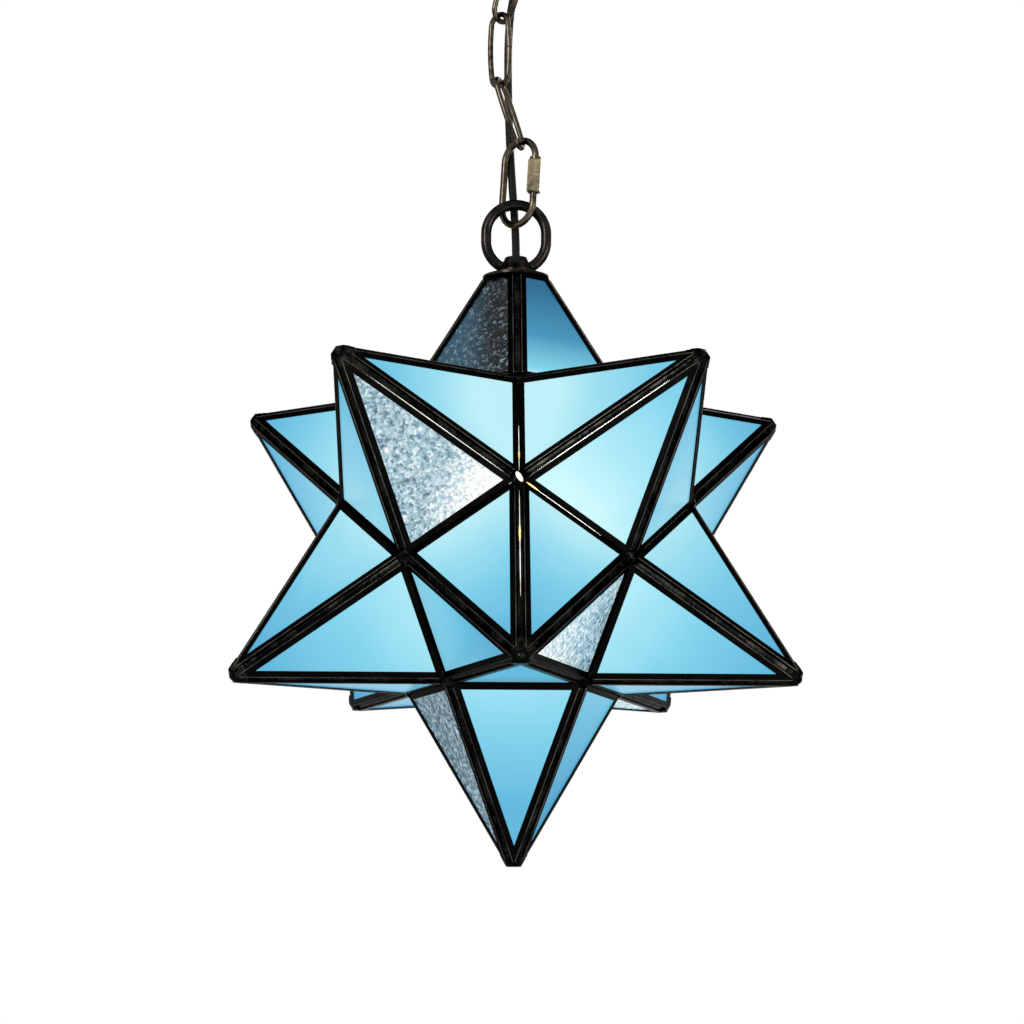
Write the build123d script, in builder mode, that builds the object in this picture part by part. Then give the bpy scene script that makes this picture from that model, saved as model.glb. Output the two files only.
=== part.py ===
"""Star pendant light: a twelve-pointed stained-glass star that hangs from a chain.

The star is a small stellated dodecahedron. Each point is a pyramid of five glass triangles, each held in
its own metal channel frame, with solder along the ridges and in the valleys. One point at the back is
hinged, so that the bulb can be reached. Millimetres, +Z up, origin in the ceiling plane on the hanging
axis. The star's front is towards -Y.
"""

import os
from math import asin, atan, cos, degrees, pi, radians, sin, sqrt, tan

from build123d import *

os.makedirs("parts", exist_ok=True)

# Star: one size, the valley edge between two points, sets the whole polyhedron
valley_edge = 74.0
top_cut = 33.2
tip_cut = 7.0

# Glass and the channel frame (came) round each pane
glass_thickness = 3.0
came_leg = 0.6
came_web = 0.8
came_face = 3.4
glass_play = 0.1
ridge_play = 0.1
valley_play = 0.15
tip_frame_cut = 12.5

# Solder low in the ridge grooves, in the valleys and on the tips
solder_play = 0.06
solder_recess = 1.2
solder_meniscus = 0.3
solder_depth = 3.0
ridge_solder_start = 5.0
valley_solder_margin = 7.0
tip_round = 0.9

# Hinge of the door point
barrel_radius = 2.0
barrel_play = 0.12
hinge_pin_radius = 1.0
running_play = 0.05
hinge_leaf = 0.6
hinge_leaf_reach = 3.0
hinge_length = 36.0
knuckle_gap = 0.3
pin_head_radius = 1.6
pin_head_height = 0.8

# Hanging loops: a ring cast on a screwed hub, one at each end of the chain
ring_wire = 6.0
ring_outer = 40.0
hub_flange_radius = 11.0
hub_flange_height = 3.2
hub_height = 11.2
hub_waist_radius = 8.4
hub_waist_height = 6.8
hub_top_radius = 6.4
ring_rise = 21.1
star_ring_stretch = 4.5
cord_bore_radius = 4.0
hub_socket_depth = 4.5

# Chain, quick link and its sleeve nut
link_wire = 3.2
link_length = 46.0
link_width = 18.0
link_end_radius = 6.4
link_seam = 0.6
hook_gap = 0.4
lower_link_slack = 0.5
quick_wire = 4.0
quick_length = 53.7
quick_width = 27.0
quick_gate_top = 12.0
quick_gate_bottom = 4.6
quick_collar_radius = 3.2
quick_collar_height = 1.4
nut_length = 19.5
nut_across_flats = 7.4
nut_chamfer = 0.6
ring_slack = 6.8

# Pose of the chain at rest, seen from the front: lean from the vertical and turn about it, in degrees
middle_lean = -0.9
lower_lean = -18.1
quick_lean = 3.1
upper_ring_turn = -45.0
upper_turn = 45.0
middle_turn = -45.0
lower_turn = 66.0
quick_turn = -42.0

# Ceiling mount
canopy_radius = 60.0
canopy_depth = 26.0
canopy_lip = 5.0
canopy_flat_radius = 22.0
canopy_crown_radius = 48.0
canopy_wall = 1.0
crossbar_length = 104.0
crossbar_width = 20.0
crossbar_thickness = 2.0
crossbar_corner = 5.0
slot_length = 20.0
slot_end_wall = 2.0
slot_width = 4.4
locknut_across_flats = 14.0
locknut_height = 4.0

# Threaded nipples that carry the cord through the mount and the star's top
nipple_radius = 4.9
nipple_bore_radius = 3.5
nipple_play = 0.1
cap_disc_radius = 19.0
cap_disc_thickness = 1.5
star_nipple_drop = 33.0

# Lampholder (E26) below the star nipple
holder_radius = 17.0
holder_wall = 2.2
holder_cap_height = 16.0
holder_neck_radius = 8.0
holder_neck_height = 5.0
holder_length = 32.0
holder_seat_overlap = 6.0
screw_shell_wall = 0.8
screw_shell_length = 27.5
insulator_thickness = 3.0
contact_radius = 3.5
contact_height = 2.4
insulator_drop = 1.0
part_play = 0.15

# Slim corn bulb
bulb_base_radius = 13.1
bulb_base_wall = 0.7
bulb_base_length = 20.0
bulb_tip_radius = 4.6
bulb_tip_height = 2.2
bulb_cone_height = 4.0
bulb_cone_radius = 10.5
bulb_collar_radius = 16.2
bulb_collar_length = 20.0
bulb_collar_chamfer = 2.0
bulb_groove_depth = 0.8
bulb_groove_width = 1.4
bulb_column_radius = 11.0
bulb_column_length = 50.0
bulb_cover_radius = 15.2
bulb_cover_wall = 1.0
bulb_cover_length = 57.0
bulb_cover_round = 4.0
bulb_contact_gap = 0.3

# Supply cord
cord_radius = 2.3
cord_bend_share = 0.45

# The polyhedron that follows from the valley edge
golden = (1 + sqrt(5)) / 2
half_dihedral = atan(golden)
neighbour_cosine = 1 / golden**2
tip_half_angle = pi / 10
face_slope = atan(0.5)
ridge_slope = atan(1 / golden)
mid_radius = valley_edge * (3 + sqrt(5)) / 4
core_radius = valley_edge * sqrt(3) * golden / 2
tip_radius = valley_edge * (sqrt((25 + 11 * sqrt(5)) / 10) / 2 + sqrt((5 + 2 * sqrt(5)) / 5))
panel_height = valley_edge / 2 / tan(tip_half_angle)
ridge_length = golden * valley_edge
came_depth = glass_thickness + 2 * (came_leg + glass_play)
ridge_inset = came_depth / tan(half_dihedral) + ridge_play
top_frame_cut = top_cut / cos(face_slope)


def lean_direction(lean):
    """Upward direction of a hanging piece that leans in the XZ plane."""
    return Vector(sin(radians(lean)), 0, cos(radians(lean)))


def hanging_plane(centre, lean, turn):
    """Plane of a flat hanging piece: x across it, y up along it."""
    up = lean_direction(lean)
    across = Vector(cos(radians(turn)), sin(radians(turn)), 0)
    across = (across - up * across.dot(up)).normalized()
    return Plane(origin=centre, x_dir=across, z_dir=across.cross(up))


def save(builder, name):
    """Label a finished piece and write it."""
    builder.part.label = name
    export_step(builder.part, f"parts/{name}.step")


def say_joint(name, place, axis):
    """Print where a joint turns or slides, for the record."""
    print(f"joint {name} pos {[round(v, 3) for v in place]} axis {[round(v, 6) for v in axis]}")


# Heights down the hanging axis, from the ceiling to the star
ring_radius = (ring_outer - ring_wire) / 2
link_pitch = link_length - link_wire
quick_pitch = quick_length - quick_wire
upper_hub_z = -canopy_depth
upper_ring_centre = Vector(0, 0, upper_hub_z - ring_rise)
upper_hook = upper_ring_centre - Vector(0, 0, ring_radius)
ring_to_link = (ring_wire + link_wire) / 2 + hook_gap
link_to_link = link_wire + hook_gap
link_to_lower = link_to_link + lower_link_slack
link_to_quick = (link_wire + quick_wire) / 2 + hook_gap
sideways = (link_pitch - link_to_link) * sin(radians(middle_lean))
sideways += (link_pitch - link_to_lower) * sin(radians(lower_lean))
sideways += (quick_pitch - link_to_quick) * sin(radians(quick_lean))
upper_lean = degrees(asin(-sideways / (link_pitch - ring_to_link)))
upper_top = upper_hook + lean_direction(upper_lean) * ring_to_link
upper_bottom = upper_top - lean_direction(upper_lean) * link_pitch
middle_top = upper_bottom + lean_direction(middle_lean) * link_to_link
middle_bottom = middle_top - lean_direction(middle_lean) * link_pitch
lower_top = middle_bottom + lean_direction(lower_lean) * link_to_lower
lower_bottom = lower_top - lean_direction(lower_lean) * link_pitch
quick_top = lower_bottom + lean_direction(quick_lean) * link_to_quick
quick_bottom = quick_top - lean_direction(quick_lean) * quick_pitch
star_hook = Vector(0, 0, quick_bottom.Z + (ring_wire + quick_wire) / 2 + ring_slack)
star_ring_centre = star_hook - Vector(0, 0, ring_radius)
star_hub_z = star_ring_centre.Z - star_ring_stretch - ring_rise
star_top_z = star_hub_z - cap_disc_thickness
star_centre = Vector(0, 0, star_top_z - (tip_radius - top_cut))
print("star centre", tuple(round(v, 3) for v in star_centre), "tip radius", round(tip_radius, 3))


# Directions of the twelve points
def point_direction(azimuth, side):
    """Direction of a point of the upper (side 1) or lower (side -1) ring, azimuth 0 at the front."""
    turn = radians(azimuth)
    return Vector(sin(turn) * cos(face_slope), -cos(turn) * cos(face_slope), side * sin(face_slope))


points = {
    "top": Vector(0, 0, 1),
    "upper_front_left": point_direction(-36, 1),
    "upper_front_right": point_direction(36, 1),
    "upper_left": point_direction(-108, 1),
    "upper_right": point_direction(108, 1),
    "door": point_direction(180, 1),
    "lower_front": point_direction(0, -1),
    "lower_front_left": point_direction(-72, -1),
    "lower_front_right": point_direction(72, -1),
    "lower_back_left": point_direction(-144, -1),
    "lower_back_right": point_direction(144, -1),
    "bottom": Vector(0, 0, -1),
}

# Clear panes, as a point and the neighbour that the pane faces; every other pane is blue
clear_panes = [
    ("top", "upper_front_left"),
    ("upper_front_left", "lower_front"),
    ("lower_front", "lower_front_right"),
    ("bottom", "lower_front_left"),
    ("upper_right", "lower_back_right"),
    ("lower_back_left", "upper_left"),
    ("lower_back_right", "bottom"),
    ("door", "lower_back_left"),
]


def share_valley(one, two):
    """True for two different points whose directions are close enough to be neighbours."""
    return one != two and points[one].dot(points[two]) > neighbour_cosine


def neighbours(name):
    """The five points that share a valley with this one."""
    return [other for other in points if share_valley(name, other)]


def ridge_pairs(name):
    """The five pairs of neighbours that meet at one end of a ridge of this point."""
    beside = neighbours(name)
    pairs = [(one, two) for i, one in enumerate(beside) for two in beside[i + 1 :]]
    return [(one, two) for one, two in pairs if share_valley(one, two)]


def panel_plane(name, facing):
    """Outer plane of a pane: origin at the middle of its valley, y up to the tip, z outwards."""
    point, other = points[name], points[facing]
    middle = (point + other).normalized() * mid_radius
    rise = (point * tip_radius - middle).normalized()
    across = point.cross(other).normalized()
    outwards = across.cross(rise)
    if outwards.dot(other) < 0:
        across, outwards = -across, -outwards
    return Plane(origin=star_centre + middle, x_dir=across, z_dir=outwards)


def ridge_plane(name, one, two):
    """Section plane at the foot of a ridge: y outwards, z along the ridge to the tip."""
    point = points[name]
    foot = (point + points[one] + points[two]).normalized() * core_radius
    along = (point * tip_radius - foot).normalized()
    outwards = foot - point * foot.dot(point)
    outwards = (outwards - along * outwards.dot(along)).normalized()
    return Plane(origin=star_centre + foot, x_dir=outwards.cross(along), z_dir=along)


def valley_plane(name, other):
    """Section plane at the middle of a valley: x towards the first point, y outwards, z along it."""
    outwards = (points[name] + points[other]).normalized()
    along = points[name].cross(points[other]).normalized()
    return Plane(origin=star_centre + outwards * mid_radius, x_dir=outwards.cross(along), z_dir=along)


def tip_plane(name):
    """Plane across a point where its frames end: x towards one ridge, z to the tip."""
    point = points[name]
    one, two = ridge_pairs(name)[0]
    foot = point + points[one] + points[two]
    level = tip_radius - tip_frame_cut * cos(face_slope) + solder_play
    return Plane(origin=star_centre + point * level, x_dir=(foot - point * foot.dot(point)), z_dir=point)


def pane_corners(inset, valley_inset, cut):
    """Corners of a pane's triangle, drawn in from its ridges and valley and cut off below the tip."""
    draw_in = inset / cos(tip_half_angle)
    foot = (panel_height - valley_inset) * tan(tip_half_angle) - draw_in
    head = cut * tan(tip_half_angle) - draw_in
    base = [(-foot, valley_inset), (foot, valley_inset)]
    if head > ridge_play:
        return base + [(head, panel_height - cut), (-head, panel_height - cut)]
    return base + [(0, panel_height - inset / sin(tip_half_angle))]


def frame_outline(margin, cut):
    """Corners of a frame's outer edge drawn in by a margin, for a frame cut at this distance."""
    return pane_corners(ridge_inset + margin, valley_play + margin, cut + margin)


def make_came(cut):
    """Channel frame round one pane, in the pane's own plane with its outer face at z = 0."""
    with BuildPart() as came:
        with BuildSketch():
            Polygon(*frame_outline(0, cut), align=None)
            Polygon(*frame_outline(came_face, cut), align=None, mode=Mode.SUBTRACT)
        extrude(amount=-came_depth)
        with BuildSketch(Plane.XY.offset(-came_leg)):
            Polygon(*frame_outline(came_web, cut), align=None)
        extrude(amount=-(came_depth - 2 * came_leg), mode=Mode.SUBTRACT)
    return came.part


def make_pane(cut):
    """Glass of one pane, which sits in the channel with play all round."""
    with BuildPart() as pane:
        with BuildSketch(Plane.XY.offset(-came_leg - glass_play)):
            Polygon(*frame_outline(came_web + glass_play, cut), align=None)
        extrude(amount=-glass_thickness)
    return pane.part


def make_ridge_solder(cut):
    """Solder low in the groove between two frames, with a hollow face, along z from the foot."""
    reach = ridge_inset - solder_play
    edge_x, edge_y = reach * sin(half_dihedral), -reach * cos(half_dihedral)
    face_x = edge_x - solder_recess * cos(half_dihedral)
    face_y = edge_y - solder_recess * sin(half_dihedral)
    root_x = edge_x - solder_depth * cos(half_dihedral)
    root_y = edge_y - solder_depth * sin(half_dihedral)
    run = ridge_length - ridge_solder_start - (cut * cos(face_slope) + solder_play) / cos(ridge_slope)
    with BuildPart() as solder:
        with BuildSketch(Plane.XY.offset(ridge_solder_start)):
            with BuildLine():
                Polyline((-face_x, face_y), (-root_x, root_y), (root_x, root_y), (face_x, face_y))
                ThreePointArc((face_x, face_y), (0, face_y - solder_meniscus), (-face_x, face_y))
            make_face()
        extrude(amount=run)
    return solder.part


def make_tip():
    """Blunt soldered tip that closes the ends of five frames."""
    base_radius = tip_frame_cut * cos(face_slope) * tan(ridge_slope)
    height = tip_frame_cut * cos(face_slope) - tip_cut - solder_play
    with BuildPart() as tip:
        with BuildSketch():
            RegularPolygon(radius=base_radius - ridge_play, side_count=5)
        extrude(amount=height, taper=degrees(face_slope))
        fillet(tip.faces().sort_by(Axis.Z)[-1].edges(), radius=tip_round)
    return tip.part


# Panes, frames and solder: two lengths of pane, the full points and the cut top point
came = {"full": make_came(tip_frame_cut), "cut": make_came(top_frame_cut)}
pane = {"full": make_pane(tip_frame_cut), "cut": make_pane(top_frame_cut)}
ridge_solder = {"full": make_ridge_solder(tip_frame_cut), "cut": make_ridge_solder(top_frame_cut)}
tip = make_tip()

for name in points:
    kind = "cut" if name == "top" else "full"
    with BuildPart() as point_frame:
        with Locations(*[panel_plane(name, other) for other in neighbours(name)]):
            add(came[kind])
        with Locations(*[ridge_plane(name, one, two) for one, two in ridge_pairs(name)]):
            add(ridge_solder[kind])
        if kind == "full":
            with Locations(tip_plane(name)):
                add(tip)
    save(point_frame, f"{name}_point_frame")
    blue = [other for other in neighbours(name) if (name, other) not in clear_panes]
    with BuildPart() as blue_glass:
        with Locations(*[panel_plane(name, other) for other in blue]):
            add(pane[kind])
    save(blue_glass, f"{name}_point_blue_glass")

# Clear panes of the fixed points, and the one on the door
with BuildPart() as clear_glass:
    for name, other in clear_panes[:-1]:
        with Locations(panel_plane(name, other)):
            add(pane["cut" if name == "top" else "full"])
save(clear_glass, "clear_glass_panes")
with BuildPart() as door_clear_glass:
    with Locations(panel_plane(*clear_panes[-1])):
        add(pane["full"])
save(door_clear_glass, "door_clear_glass")

# Solder wedges inside the valleys that join the fixed points; the door's valleys stay open
wedge_reach = valley_play - solder_play
wedge_corners = [
    (
        side * (wedge_reach * sin(half_dihedral) + depth * cos(half_dihedral)),
        wedge_reach * cos(half_dihedral) - depth * sin(half_dihedral),
    )
    for side, depth in ((-1, came_leg), (-1, solder_depth), (1, solder_depth), (1, came_leg))
]
wedge_length = valley_edge - 2 * valley_solder_margin
with BuildPart() as wedge:
    with BuildSketch(Plane.XY.offset(-wedge_length / 2)):
        Polygon(*wedge_corners, align=None)
    extrude(amount=wedge_length)
fixed = [name for name in points if name != "door"]
valleys = [(one, two) for i, one in enumerate(fixed) for two in neighbours(one) if two in fixed[i + 1 :]]
with BuildPart() as valley_solder:
    with Locations(*[valley_plane(one, two) for one, two in valleys]):
        add(wedge.part)
save(valley_solder, "valley_solder")

# Hinge in the valley between the door and the top point: x towards the door, z along the pin
hinge_plane = valley_plane("door", "top")
barrel_offset = (barrel_radius + barrel_play) / sin(half_dihedral)
barrel_start = barrel_offset * cos(half_dihedral)
knuckle = (hinge_length - 2 * knuckle_gap) / 3


def hinge_knuckles(side, spans):
    """Rolled knuckles on a leaf that lies on a frame's outer face; side 1 is the door's."""
    along = Vector(side * sin(half_dihedral), cos(half_dihedral))
    off = Vector(-side * cos(half_dihedral), sin(half_dihedral))
    corners = [
        along * reach + off * (solder_play + height)
        for reach, height in (
            (barrel_start, 0),
            (barrel_start + hinge_leaf_reach, 0),
            (barrel_start + hinge_leaf_reach, hinge_leaf),
            (barrel_start, hinge_leaf),
        )
    ]
    with BuildPart() as leaf:
        for low, high in spans:
            with BuildSketch(hinge_plane.offset(low)):
                with Locations((0, barrel_offset)):
                    Circle(barrel_radius)
                with BuildLine():
                    Polyline(*corners, close=True)
                make_face()
                with Locations((0, barrel_offset)):
                    Circle(hinge_pin_radius + running_play, mode=Mode.SUBTRACT)
            extrude(amount=high - low)
    return leaf


half_knuckle = knuckle / 2
knuckle_start = half_knuckle + knuckle_gap
outer_spans = [(-hinge_length / 2, -knuckle_start), (knuckle_start, hinge_length / 2)]
save(hinge_knuckles(-1, outer_spans), "hinge_fixed_knuckles")
save(hinge_knuckles(1, [(-half_knuckle, half_knuckle)]), "hinge_door_knuckle")

pin_reach = hinge_length / 2 + running_play
with BuildPart() as hinge_pin:
    with BuildSketch(hinge_plane.offset(-pin_reach)):
        with Locations((0, barrel_offset)):
            Circle(hinge_pin_radius)
    extrude(amount=2 * pin_reach)
    for end in (-pin_reach - pin_head_height, pin_reach):
        with BuildSketch(hinge_plane.offset(end)):
            with Locations((0, barrel_offset)):
                Circle(pin_head_radius)
        extrude(amount=pin_head_height)
save(hinge_pin, "hinge_pin")
hinge_axis_point = hinge_plane.from_local_coords(Vector(0, barrel_offset, 0))
say_joint("door_hinge", hinge_axis_point, hinge_plane.z_dir)


# Hanging loops
def hanging_loop(hub_z, ring_centre, turn, name, facing, stretch):
    """Ring on a flared hub that screws on a nipple; facing 1 stands up from hub_z, -1 hangs down."""
    across = Vector(cos(radians(turn)), sin(radians(turn)), 0)
    wire = Plane(origin=ring_centre + across * ring_radius, x_dir=across, z_dir=(0, 0, 1))
    upright = Plane(origin=ring_centre, x_dir=across, z_dir=(across.Y, -across.X, 0))
    base = Plane(origin=(ring_centre.X, ring_centre.Y, hub_z), x_dir=(1, 0, 0), z_dir=(0, 0, facing))
    side = Plane(origin=base.origin, x_dir=(1, 0, 0), z_dir=(0, -facing, 0))
    with BuildPart() as loop:
        with BuildLine(upright):
            upper = CenterArc((0, 0), ring_radius, 0, 180)
            lower = CenterArc((0, -stretch), ring_radius, 180, 180)
            if stretch:
                Line(upper @ 1, lower @ 0)
                Line(lower @ 1, upper @ 0)
        with BuildSketch(wire):
            Circle(ring_wire / 2)
        sweep()
        with BuildSketch(side):
            with BuildLine():
                Polyline(
                    (0, 0),
                    (hub_flange_radius, 0),
                    (hub_flange_radius, hub_flange_height),
                    (hub_waist_radius, hub_waist_height),
                    (hub_top_radius, hub_height),
                    (0, hub_height),
                    close=True,
                )
            make_face()
        revolve(axis=Axis(base.origin, base.z_dir))
        with BuildSketch(base):
            Circle(cord_bore_radius)
        extrude(amount=hub_height + ring_wire, mode=Mode.SUBTRACT)
        with BuildSketch(base):
            Circle(nipple_radius + nipple_play)
        extrude(amount=hub_socket_depth, mode=Mode.SUBTRACT)
    save(loop, name)


hanging_loop(upper_hub_z, upper_ring_centre, upper_ring_turn, "canopy_loop", -1, 0)
hanging_loop(star_hub_z, star_ring_centre, 0, "star_loop", 1, star_ring_stretch)


# Chain links: ovals of tangent arcs bent from wire, with the butted seam on one side
def chain_link(top, bottom, lean, turn, name):
    """One link between the middles of its two end bends."""
    half_length = link_pitch / 2
    half_width = (link_width - link_wire) / 2
    end_y = half_length - link_end_radius
    swell = half_width - link_end_radius
    side_x = (end_y**2 - swell**2) / 2 / swell
    side_radius = side_x + half_width
    meet_x = link_end_radius * side_x / (side_x + swell)
    meet_y = end_y + link_end_radius * end_y / (side_x + swell)

    def side_point(y):
        return (sqrt(side_radius**2 - y**2) - side_x, y)

    with BuildPart() as link:
        with BuildLine(hanging_plane((top + bottom) / 2, lean, turn)) as wire:
            ThreePointArc(side_point(link_seam / 2), side_point(meet_y / 2), (meet_x, meet_y))
            ThreePointArc((meet_x, meet_y), (0, half_length), (-meet_x, meet_y))
            ThreePointArc((-meet_x, meet_y), (-half_width, 0), (-meet_x, -meet_y))
            ThreePointArc((-meet_x, -meet_y), (0, -half_length), (meet_x, -meet_y))
            ThreePointArc((meet_x, -meet_y), side_point(-meet_y / 2), side_point(-link_seam / 2))
        with BuildSketch(Plane(origin=wire.line @ 0, z_dir=wire.line % 0)):
            Circle(link_wire / 2)
        sweep(path=wire.line)
    save(link, name)


chain_link(upper_top, upper_bottom, upper_lean, upper_turn, "chain_link_upper")
chain_link(middle_top, middle_bottom, middle_lean, middle_turn, "chain_link_middle")
chain_link(lower_top, lower_bottom, lower_lean, lower_turn, "chain_link_lower")
upper_ring_across = Vector(cos(radians(upper_ring_turn)), sin(radians(upper_ring_turn)), 0)
say_joint("upper_link_swing", upper_hook, upper_ring_across)
say_joint("middle_link_swing", upper_bottom, hanging_plane(upper_bottom, upper_lean, upper_turn).x_dir)
say_joint("lower_link_swing", middle_bottom, hanging_plane(middle_bottom, middle_lean, middle_turn).x_dir)
say_joint("quick_link_swing", lower_bottom, hanging_plane(lower_bottom, lower_lean, lower_turn).x_dir)
say_joint("star_swing", star_hook, (1, 0, 0))

# Quick link: a wire loop with a gate in one leg, closed by a sleeve nut
quick_plane = hanging_plane((quick_top + quick_bottom) / 2, quick_lean, quick_turn)
leg_x = (quick_width - quick_wire) / 2
leg_y = quick_pitch / 2 - leg_x
collar_y = leg_y - quick_collar_height
with BuildPart() as quick_link:
    with BuildLine(quick_plane) as quick_wire_line:
        Line((leg_x, quick_gate_top), (leg_x, leg_y))
        ThreePointArc((leg_x, leg_y), (0, leg_y + leg_x), (-leg_x, leg_y))
        Line((-leg_x, leg_y), (-leg_x, -leg_y))
        ThreePointArc((-leg_x, -leg_y), (0, -leg_y - leg_x), (leg_x, -leg_y))
        Line((leg_x, -leg_y), (leg_x, quick_gate_bottom))
    with BuildSketch(Plane(origin=quick_wire_line.line @ 0, z_dir=quick_wire_line.line % 0)):
        Circle(quick_wire / 2)
    sweep(path=quick_wire_line.line)
    collar_plane = Plane(
        origin=quick_plane.from_local_coords(Vector(leg_x, collar_y, 0)),
        x_dir=quick_plane.x_dir,
        z_dir=quick_plane.y_dir,
    )
    with BuildSketch(collar_plane):
        Circle(quick_collar_radius)
    extrude(amount=quick_collar_height)
save(quick_link, "quick_link")

with BuildPart() as sleeve_nut:
    with BuildSketch(collar_plane.offset(-running_play)):
        RegularPolygon(radius=nut_across_flats / 2, side_count=6, major_radius=False)
    extrude(amount=-nut_length)
    nut_ends = sleeve_nut.faces().sort_by(Axis(collar_plane.origin, collar_plane.z_dir))
    chamfer(nut_ends[0].edges() + nut_ends[-1].edges(), length=nut_chamfer)
    with BuildSketch(collar_plane.offset(-running_play)):
        Circle(quick_wire / 2 + running_play)
    extrude(amount=-nut_length, mode=Mode.SUBTRACT)
save(sleeve_nut, "quick_link_nut")
nut_travel = collar_y - running_play - nut_length + leg_y
say_joint("quick_link_nut_travel", collar_plane.origin, -collar_plane.z_dir)
print("nut travel", round(nut_travel, 3))


# Revolved pieces on the hanging axis
def turned(corners, name):
    """Solid of revolution about the hanging axis from (radius, height) corners."""
    with BuildPart() as piece:
        with BuildSketch(Plane.XZ):
            with BuildLine():
                Polyline(*corners, close=True)
            make_face()
        revolve(axis=Axis.Z)
    save(piece, name)


def tube(inner, outer, low, high, name):
    """Plain tube, or a disc when the inner radius is 0."""
    turned([(inner, high), (outer, high), (outer, low), (inner, low)], name)


# Ceiling mount: crossbar, nipple, locknut and spun canopy
slot_spacing = crossbar_length - slot_length - 2 * slot_end_wall
with BuildPart() as crossbar:
    with BuildSketch():
        Rectangle(crossbar_length, crossbar_width)
        with GridLocations(slot_spacing, 0, 2, 1):
            SlotOverall(slot_length, slot_width, mode=Mode.SUBTRACT)
        Circle(nipple_radius + nipple_play, mode=Mode.SUBTRACT)
    extrude(amount=-crossbar_thickness)
    bar_corners = crossbar.edges().filter_by(Axis.Z).sort_by(Axis.X)
    fillet(bar_corners[:2] + bar_corners[-2:], radius=crossbar_corner)
save(crossbar, "ceiling_crossbar")


def dome_outline(radius, depth, lip, flat, crown):
    """Half section of the canopy's bowl, closed on the axis."""
    with BuildLine() as outline:
        Polyline((0, 0), (radius, 0), (radius, -lip))
        RadiusArc((radius, -lip), (flat, -depth), crown)
        Polyline((flat, -depth), (0, -depth), (0, 0))
    return outline.line


with BuildPart() as canopy:
    with BuildSketch(Plane.XZ):
        add(dome_outline(canopy_radius, canopy_depth, canopy_lip, canopy_flat_radius, canopy_crown_radius))
        make_face()
    revolve(axis=Axis.Z)
    with BuildSketch(Plane.XZ):
        add(
            dome_outline(
                canopy_radius - canopy_wall,
                canopy_depth - canopy_wall,
                canopy_lip,
                canopy_flat_radius,
                canopy_crown_radius - canopy_wall,
            )
        )
        make_face()
    revolve(axis=Axis.Z, mode=Mode.SUBTRACT)
    with BuildSketch(Plane.XY.offset(-canopy_depth)):
        Circle(nipple_radius + nipple_play)
    extrude(amount=canopy_depth, mode=Mode.SUBTRACT)
save(canopy, "canopy")


def hex_nut(seat_z, name):
    """Locknut on a nipple, hanging below its seat."""
    with BuildPart() as nut:
        with BuildSketch(Plane.XY.offset(seat_z)):
            RegularPolygon(radius=locknut_across_flats / 2, side_count=6, major_radius=False)
            Circle(nipple_radius + nipple_play, mode=Mode.SUBTRACT)
        extrude(amount=-locknut_height)
    save(nut, name)


def nipple(top, bottom, name):
    """Hollow threaded tube that clamps the pieces it goes through."""
    tube(nipple_bore_radius, nipple_radius, bottom, top, name)


hex_nut(-crossbar_thickness, "canopy_locknut")
nipple(0, upper_hub_z - hub_socket_depth + nipple_play, "canopy_nipple")

# Top of the star: cap disc, nipple and locknut
disc_bore = nipple_radius + nipple_play
tube(disc_bore, cap_disc_radius, star_top_z, star_hub_z, "star_cap_disc")
hex_nut(star_top_z, "star_locknut")
star_nipple_bottom = star_top_z - star_nipple_drop
nipple(star_hub_z + hub_socket_depth - nipple_play, star_nipple_bottom, "star_nipple")

# Lampholder: cap, shell, screw shell, insulator and centre contact, from the nipple down
holder_top = star_nipple_bottom + holder_seat_overlap
holder_shoulder = holder_top - holder_neck_height
holder_skirt = holder_shoulder - (holder_radius - holder_neck_radius) / 2
holder_seam = holder_top - holder_cap_height
holder_inner = holder_radius - holder_wall
cap_corners = [
    (disc_bore, holder_top),
    (holder_neck_radius, holder_top),
    (holder_neck_radius, holder_shoulder),
    (holder_radius, holder_skirt),
    (holder_radius, holder_seam),
    (holder_inner, holder_seam),
    (holder_inner, holder_skirt - holder_wall / 2),
    (disc_bore, holder_shoulder - holder_wall),
]
turned(cap_corners, "lampholder_cap")
shell_top = holder_seam - part_play
shell_bottom = shell_top - holder_length
tube(holder_inner, holder_radius, shell_bottom, shell_top, "lampholder_shell")
screw_outer = holder_inner - part_play
insulator_top = shell_top - insulator_drop
insulator_bottom = insulator_top - insulator_thickness
tube(0, screw_outer, insulator_bottom, insulator_top, "lampholder_insulator")
screw_top = insulator_bottom - part_play
screw_inner = screw_outer - screw_shell_wall
tube(screw_inner, screw_outer, screw_top - screw_shell_length, screw_top, "lampholder_screw_shell")
contact_bottom = screw_top - contact_height
tube(0, contact_radius, contact_bottom, screw_top, "lampholder_contact")

# Bulb: contact, insulator, screw base, finned collar, LED column and clear cover
bulb_top = contact_bottom - bulb_contact_gap
cone_top = bulb_top - bulb_tip_height
base_top = cone_top - bulb_cone_height
base_bottom = base_top - bulb_base_length
collar_bottom = base_bottom - bulb_collar_length
tube(0, bulb_tip_radius, cone_top, bulb_top, "bulb_tip_contact")
cone_corners = [(0, cone_top), (bulb_tip_radius, cone_top), (bulb_cone_radius, base_top), (0, base_top)]
turned(cone_corners, "bulb_tip_insulator")
base_shoulder = base_top - (bulb_base_radius - bulb_cone_radius)
base_inner = bulb_base_radius - bulb_base_wall
turned(
    [
        (0, base_top),
        (bulb_cone_radius, base_top),
        (bulb_base_radius, base_shoulder),
        (bulb_base_radius, base_bottom),
        (base_inner, base_bottom),
        (base_inner, base_shoulder),
        (bulb_cone_radius - bulb_base_wall, base_top - bulb_base_wall),
        (0, base_top - bulb_base_wall),
    ],
    "bulb_screw_base",
)
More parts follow.
